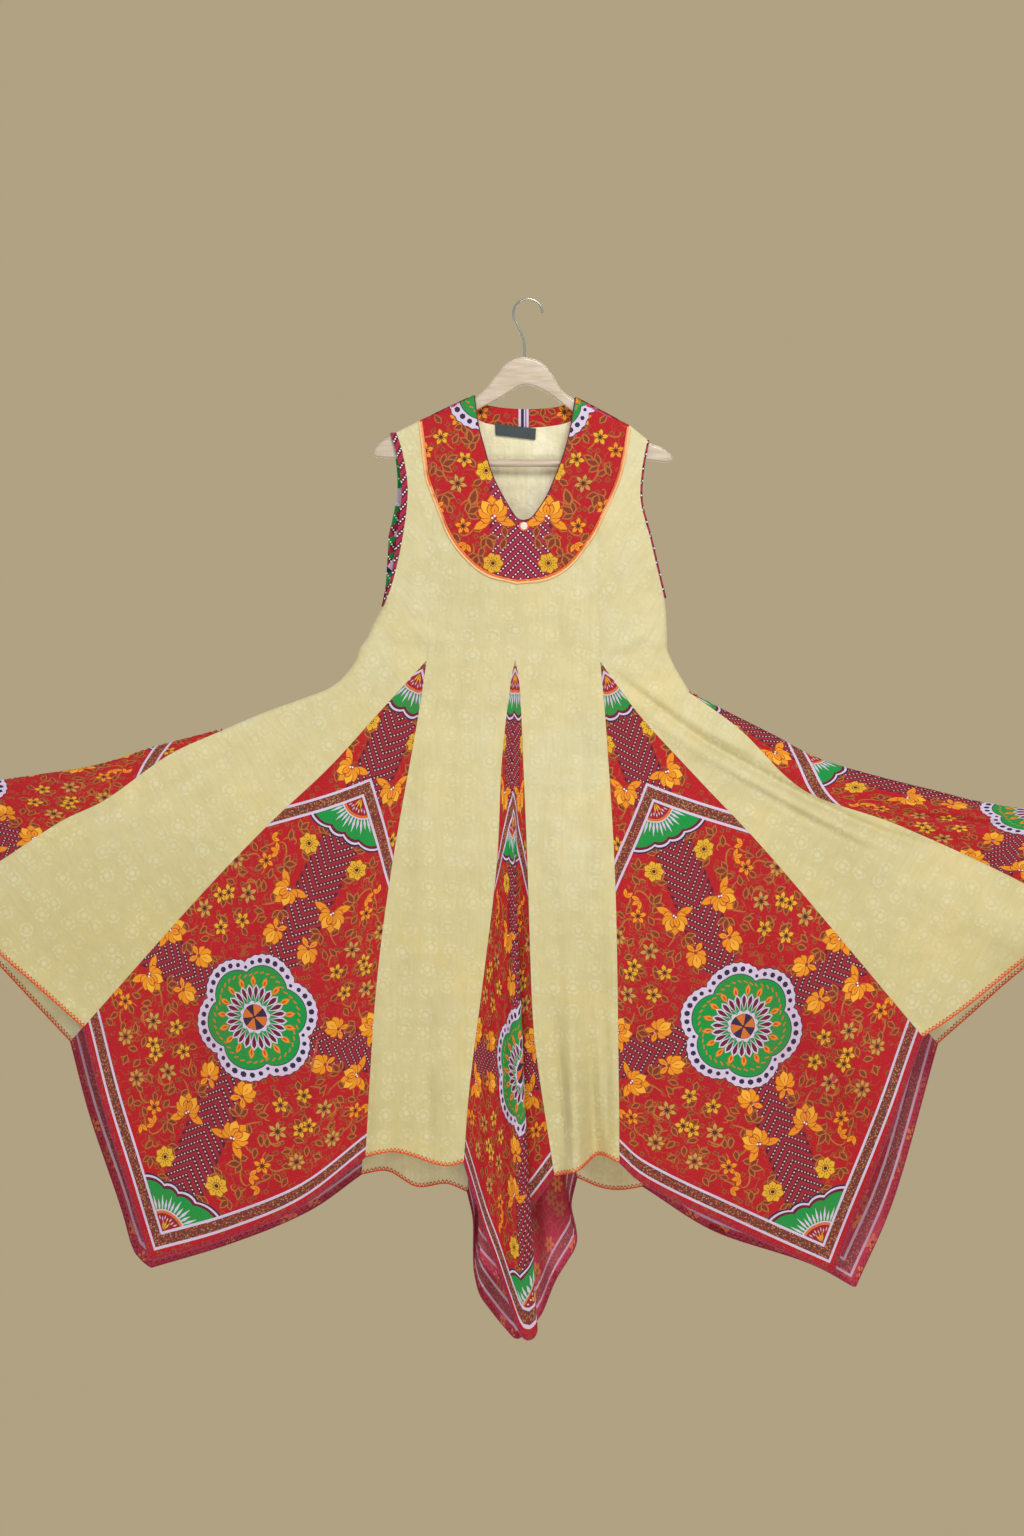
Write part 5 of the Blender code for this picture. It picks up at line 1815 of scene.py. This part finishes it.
CREAM_ZIGZAG, PRINT_ZIGZAG = (3.0, 5.2), (5.0, 8.0)  # pitch and depth of the hem stitches, mm
ZIGZAG_FOOT = 0.2  # mm from the hem to the stitches' lower ends
HEM_STANDS, HEM_THREAD = 0.25 * MM, 0.85 * MM  # above the cloth, and the thread's radius
ROLL_PITCH, ROLL_THREAD = 5 * MM, 1.25 * MM
BRAID_WIDE, BRAID_THICK, BRAID_STANDS = 5.6 * MM, 0.8 * MM, 0.7 * MM
SATIN_PITCH, SATIN_THREAD, SATIN_STANDS = 2.0 * MM, 0.7 * MM, 1.35 * MM
SATIN_ROWS = [  # name, two edges across the braid in mm, thread, lean along it in mm
    ("yoke braid inner row", -2.9, -0.2, ORANGE, 1.0),
    ("yoke braid outer row", 0.2, 2.9, PEACH, -1.0),
]
NECK_THREAD, NECK_STANDS = 0.95 * MM, 0.1 * MM


def bars(name, starts, ends, facing, radius, made_of):
    """Short straight stitches as three-sided bars."""
    along = ends - starts
    along /= np.linalg.norm(along, axis=1, keepdims=True)
    beside = np.cross(along, facing)
    beside /= np.linalg.norm(beside, axis=1, keepdims=True)
    up = np.cross(beside, along)
    ring = [up * radius, -up * radius / 2 + beside * radius * 0.87, -up * radius / 2 - beside * radius * 0.87]
    verts = np.stack([starts + r for r in ring] + [ends + r for r in ring], axis=1).reshape(-1, 3)
    pattern = [(0, 1, 4, 3), (1, 2, 5, 4), (2, 0, 3, 5), (2, 1, 0), (3, 4, 5)]
    faces = [tuple(6 * k + i for i in f) for k in range(len(starts)) for f in pattern]
    return piece(name, verts, faces, [made_of])


def tube(name, line, radius, made_of, sides=6):
    """A thick thread along a line, closed at both ends."""
    along = np.gradient(line, axis=0)
    along /= np.linalg.norm(along, axis=1, keepdims=True)
    beside = np.cross(along, (0, 1, 0))
    beside /= np.maximum(np.linalg.norm(beside, axis=1, keepdims=True), 1e-9)
    up = np.cross(beside, along)
    a = np.arange(sides) * 2 * math.pi / sides
    round_it = np.cos(a)[None, :, None] * beside[:, None] + np.sin(a)[None, :, None] * up[:, None]
    verts = (line[:, None] + radius * round_it).reshape(-1, 3)
    faces = []
    for i in range(len(line) - 1):
        for k in range(sides):
            m = (k + 1) % sides
            faces.append((i * sides + k, i * sides + m, (i + 1) * sides + m, (i + 1) * sides + k))
    faces += [tuple(range(sides))[::-1], tuple((len(line) - 1) * sides + k for k in range(sides))]
    return piece(name, verts, faces, [made_of])


def even(line, pitch):
    """Places at an even pitch along a line, with what else is given there."""
    run = run_along(line[:, :3])
    s = np.linspace(0, run[-1], max(int(run[-1] / pitch), 2))
    return np.column_stack([np.interp(s, run, line[:, k]) for k in range(line.shape[1])])


def hem_sewing():
    """Zigzag stitches on both sides of each hem, and the rolled edge itself."""
    for edge, beside, thread, name in HEMS:
        inward = beside - edge
        inward /= np.linalg.norm(inward, axis=1, keepdims=True)
        facing = np.cross(np.gradient(edge, axis=0), inward)
        facing /= np.linalg.norm(facing, axis=1, keepdims=True)
        pitch, depth = CREAM_ZIGZAG if thread is HEM_ORANGE else PRINT_ZIGZAG
        at = even(np.hstack([edge, inward, facing]), pitch * MM)
        spot, into, out = at[:, :3], at[:, 3:6], at[:, 6:]
        deep = np.where(np.arange(len(at)) % 2, depth, ZIGZAG_FOOT)[:, None] * MM
        made = []
        for side in (1, -1):
            line = spot + into * deep + side * out * (WALL / 2 + HEM_STANDS)
            made.append((line[:-1], line[1:], side * out[:-1]))
        starts, ends, away = (np.concatenate(part) for part in zip(*made))
        bars(name, starts, ends, away, HEM_THREAD, thread)
        tube(f"{name} roll", even(edge, ROLL_PITCH), ROLL_THREAD, thread)


def yoke_braid():
    """Two rows of slanting satin stitches over a flat braid, along the yoke's seam."""
    lines = [yoke_edges(side)[0][2:] for side in ("left", "right")]
    line = joined(lines[0], lines[1][::-1])
    along = np.gradient(line, axis=0)
    along /= np.linalg.norm(along, axis=1, keepdims=True)
    away = np.column_stack([along[:, 1], -along[:, 0]])
    across = np.linspace(-0.5, 0.5, 5)
    places = line[:, None] + across[None, :, None] * BRAID_WIDE * away[:, None]
    base = raised("front", places, WALL / 2 + BRAID_STANDS)
    run = run_along(line)
    wide = np.repeat(across[None] * BRAID_WIDE, len(line), 0)
    cut = np.stack([wide, np.repeat(run[:, None], len(across), 1)], -1)
    made = cloth("yoke braid", base, cut, [PEACH, ORANGE], wall=BRAID_THICK)
    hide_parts("yoke_trim")
    stands = WALL / 2 + SATIN_STANDS
    for name, low, high, thread, lean in SATIN_ROWS:
        at = even(np.hstack([line, away, along]), SATIN_PITCH)
        place, out, forward = at[:, :2], at[:, 2:4], at[:, 4:]
        starts = raised("front", place + out * low * MM - forward * lean * MM, stands)
        ends = raised("front", place + out * high * MM + forward * lean * MM, stands)
        facing = np.tile((0.0, -1.0, 0.0), (len(starts), 1))
        bars(name, starts, ends, facing, SATIN_THREAD, thread)


def neck_edge():
    """The bound edge of the V of the neck."""
    for side in ("left", "right"):
        line = curve(NECK[side] + [NECK_POINT], crowded(60, 1.2))
        rolled = tube(f"neck_edge_{side}", raised("front", line, NECK_STANDS), NECK_THREAD, PIPING, 8)


# The hanger, across and down in mm
WIRE = 1.7 * MM
HOOK_MIDDLE = 20  # down to the middle of the hook's bow, which is also its inner radius
HOOK_STEM = [(-5, 84.5), (-6, 62), (-13, 42), (-21, 26)]
WOOD_FLAT, WOOD_ROUND = 1.5 * MM, 4.0 * MM  # half of its flat edge, and the rounding
HANGER_TOP = [  # the wood's upper edge from tip to tip
    (-230, 229), (-226, 219), (-212, 207), (-196, 200), (-160, 181.5), (-112, 160.3), (-80, 146),
    (-62, 131), (-44, 108), (-30, 93), (-12, 85.6), (0, 85.6), (20, 93), (36, 111), (50, 134),
    (71, 149), (104, 167.3), (150, 188.5), (178, 211), (196, 218), (212, 230), (214, 238),
]
HANGER_FOOT = [  # and its lower edge, with a lobe at each end that holds the bar
    (206, 241), (176, 238), (168, 246), (156, 248), (148, 240), (140, 222), (104, 195), (66, 166),
    (28, 138), (-6, 126), (-40, 145), (-76, 164), (-112, 188), (-156, 216), (-162, 238),
    (-170, 247), (-184, 246), (-192, 236), (-212, 234), (-226, 233),
]


def smooth_curve(name, points, radius, made_of, resolution=5):
    data = bpy.data.curves.new(name, "CURVE")
    data.dimensions = "3D"
    data.bevel_depth = radius
    data.bevel_resolution = resolution
    data.use_fill_caps = True
    spline = data.splines.new("POLY")
    spline.points.add(len(points) - 1)
    for point, place in zip(spline.points, points):
        point.co = (*place, 1)
    data.materials.append(made_of)
    obj = bpy.data.objects.new(name, data)
    bpy.context.scene.collection.objects.link(obj)
    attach(obj, "root")
    return obj


def hanger_hook():
    bow_radius = HOOK_MIDDLE + WIRE / MM
    turns = [math.radians(degrees) for degrees in range(176, -1, -16)]
    bow = [(bow_radius * math.cos(a), HOOK_MIDDLE - bow_radius * math.sin(a)) for a in turns]
    places = curve(HOOK_STEM + bow, shares(90))
    hook = smooth_curve("hanger_hook_wire", [(x, 0, z) for x, z in places], WIRE, STEEL)
    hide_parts("hanger_hook")


def hanger_body():
    """Flat wood with rounded edges; its bar keeps the part's own mesh, in the same wood."""
    data = bpy.data.curves.new("hanger body", "CURVE")
    data.dimensions = "2D"
    data.fill_mode = "BOTH"
    data.extrude = WOOD_FLAT
    data.bevel_depth = WOOD_ROUND
    data.bevel_resolution = 4
    data.offset = -WOOD_ROUND
    outline = joined(curve(HANGER_TOP, shares(150)), curve(HANGER_TOP[-1:] + HANGER_FOOT, shares(140)))
    spline = data.splines.new("POLY")
    spline.points.add(len(outline) - 1)
    for point, (x, z) in zip(spline.points, outline):
        point.co = (x, z, 0, 1)
    spline.use_cyclic_u = True
    guide = bpy.data.objects.new("hanger outline", data)
    bpy.context.scene.collection.objects.link(guide)
    bpy.context.view_layer.update()
    evaluated = guide.evaluated_get(bpy.context.evaluated_depsgraph_get())
    bm = bmesh.new()
    bm.from_mesh(evaluated.to_mesh())
    evaluated.to_mesh_clear()
    bpy.data.objects.remove(guide)
    bmesh.ops.remove_doubles(bm, verts=bm.verts, dist=0.01 * MM)
    for v in bm.verts:
        v.co = (v.co.x, -v.co.z, v.co.y)
    bm.normal_update()
    bmesh.ops.recalc_face_normals(bm, faces=bm.faces)
    mesh = bpy.data.meshes.new("hanger body")
    bm.to_mesh(mesh)
    bm.free()
    mesh.materials.append(WOOD)
    mesh.shade_smooth()
    mesh.set_sharp_from_angle(angle=math.radians(40))
    body = bpy.data.objects.new("hanger_body_wood", mesh)
    bpy.context.scene.collection.objects.link(body)
    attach(body, "root")
    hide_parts("hanger_body")
    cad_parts["hanger_bar"].material_slots[0].material = WOOD


BUTTON_AT = np.array((NECK_POINT[0], -(NECK_POINT[1] + 8))) * MM  # x, z
BUTTON_RADIUS, BUTTON_HALF, BUTTON_STANDS = 5.5 * MM, 1.2 * MM, 0.45 * MM
LOOP_RADIUS, LOOP_THREAD, LOOP_STANDS = 6.65 * MM, 0.8 * MM, 1.25 * MM


def neck_button():
    y = -(half_depth("front", BUTTON_AT) + WALL / 2 + BUTTON_HALF + BUTTON_STANDS)
    bpy.ops.mesh.primitive_uv_sphere_add(segments=40, ring_count=24, radius=1)
    button = bpy.context.object
    button.name = button.data.name = "pearl_neck_button"
    x, z = BUTTON_AT
    for v in button.data.vertices:
        round_x, round_z, thick = v.co
        v.co = (x + round_x * BUTTON_RADIUS, y + thick * BUTTON_HALF, z + round_z * BUTTON_RADIUS)
    button.data.shade_smooth()
    button.data.materials.append(PEARL)
    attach(button, "root")
    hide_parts("neck_button")


def button_loop():
    """A thread loop round the button, open at its top."""
    turns = [math.radians(degrees) for degrees in range(60, -241, -10)]
    places = np.array([BUTTON_AT + LOOP_RADIUS * np.array((math.cos(a), math.sin(a))) for a in turns])
    line = raised("front", places, WALL / 2 + LOOP_STANDS)
    loop = smooth_curve("neck_button_loop", line, LOOP_THREAD, ORANGE, 3)
    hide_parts("button_loop")


for face in ("front", "back"):
    for side in ("left", "right"):
        side_panel(face, side)
        centre_panel(face, side)
        godet(face, side)
    centre_godet(face)
for side in ("left", "right"):
    side_godet(side)
    armhole_binding(side)
yoke()
neckband()
hem_sewing()
yoke_braid()
neck_edge()
hanger_hook()
hanger_body()
neck_button()
button_loop()
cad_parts["neck_label"].material_slots[0].material = TAPE


# Floor, light and camera, in metres

FLOOR_HIGH, FLOOR_WIDE = -2.3, 6
FRAME_CENTRE, FRAME_HIGH, CAMERA_AWAY = (-0.0237, -0.6942), 2.2784, 9.0
SENSOR = 36  # mm
LIGHTS = [  # name, place, aim, size, power, tint
    ("key", (0.7, -2.7, 1.6), (0.05, 0, -0.7), (1.2, 1.2), 73, (1, 0.985, 0.96)),
    ("fill", (-3.0, -4.2, -0.4), (0, 0, -0.8), (3.0, 3.0), 10, (0.95, 0.97, 1)),
    ("bounce", (0.3, -3.4, -2.05), (0, 0, -1.2), (2.6, 0.5), 30, (1, 0.98, 0.94)),
    ("back", (0.5, 4.5, 0.8), (0, 0, -0.8), (3.0, 3.0), 120, (1, 1, 1)),
]


def stage():
    bpy.ops.mesh.primitive_plane_add(size=1)
    floor = bpy.context.object
    floor.name = floor.data.name = "floor"
    for v in floor.data.vertices:
        v.co = (v.co.x * FLOOR_WIDE, v.co.y * FLOOR_WIDE, FLOOR_HIGH)
    made, tree, shader = surface("pale floor", 0.85)
    cloud = noise(tree, solid_place(tree), 1.5, 3.0)
    base = mixed(tree, cloud, colour(196, 188, 176), colour(206, 199, 188))
    tree.links.new(base, shader.inputs["Base Color"])
    floor.data.materials.append(made)


def light(name, place, aim, size, power, tint):
    data = bpy.data.lights.new(name, "AREA")
    data.shape = "RECTANGLE"
    data.size, data.size_y = size
    data.energy = power
    data.color = tint
    lamp = bpy.data.objects.new(name, data)
    lamp.location = place
    lamp.visible_camera = False
    lamp.rotation_euler = (Vector(aim) - Vector(place)).to_track_quat("-Z", "Y").to_euler()
    bpy.context.scene.collection.objects.link(lamp)


def backdrop():
    """The world: soft light all round, and the plain wall colour where the camera looks."""
    world = bpy.data.worlds.new("room")
    world.use_nodes = True
    bpy.context.scene.world = world
    tree = world.node_tree
    tree.nodes.clear()
    soft = node(tree, "ShaderNodeBackground", {"Color": (0.92, 0.96, 1, 1), "Strength": 0.56})
    wall = node(tree, "ShaderNodeBackground", {"Color": colour(176, 162, 130), "Strength": 1.0})
    seen = node(tree, "ShaderNodeLightPath").outputs["Is Camera Ray"]
    both = node(tree, "ShaderNodeMixShader", {0: seen, 1: soft.outputs[0], 2: wall.outputs[0]})
    out = tree.nodes.new("ShaderNodeOutputWorld")
    tree.links.new(both.outputs[0], out.inputs[0])


def camera():
    data = bpy.data.cameras.new("camera")
    data.sensor_fit = "VERTICAL"
    data.sensor_height = SENSOR
    data.lens = SENSOR * CAMERA_AWAY / FRAME_HIGH
    data.clip_end = 60
    made = bpy.data.objects.new("camera", data)
    made.location = (FRAME_CENTRE[0], -CAMERA_AWAY, FRAME_CENTRE[1])
    made.rotation_euler = (math.radians(90), 0, 0)
    bpy.context.scene.collection.objects.link(made)
    bpy.context.scene.camera = made


stage()
backdrop()
for lamp in LIGHTS:
    light(*lamp)
bpy.context.scene.view_settings.view_transform = "Standard"
camera()
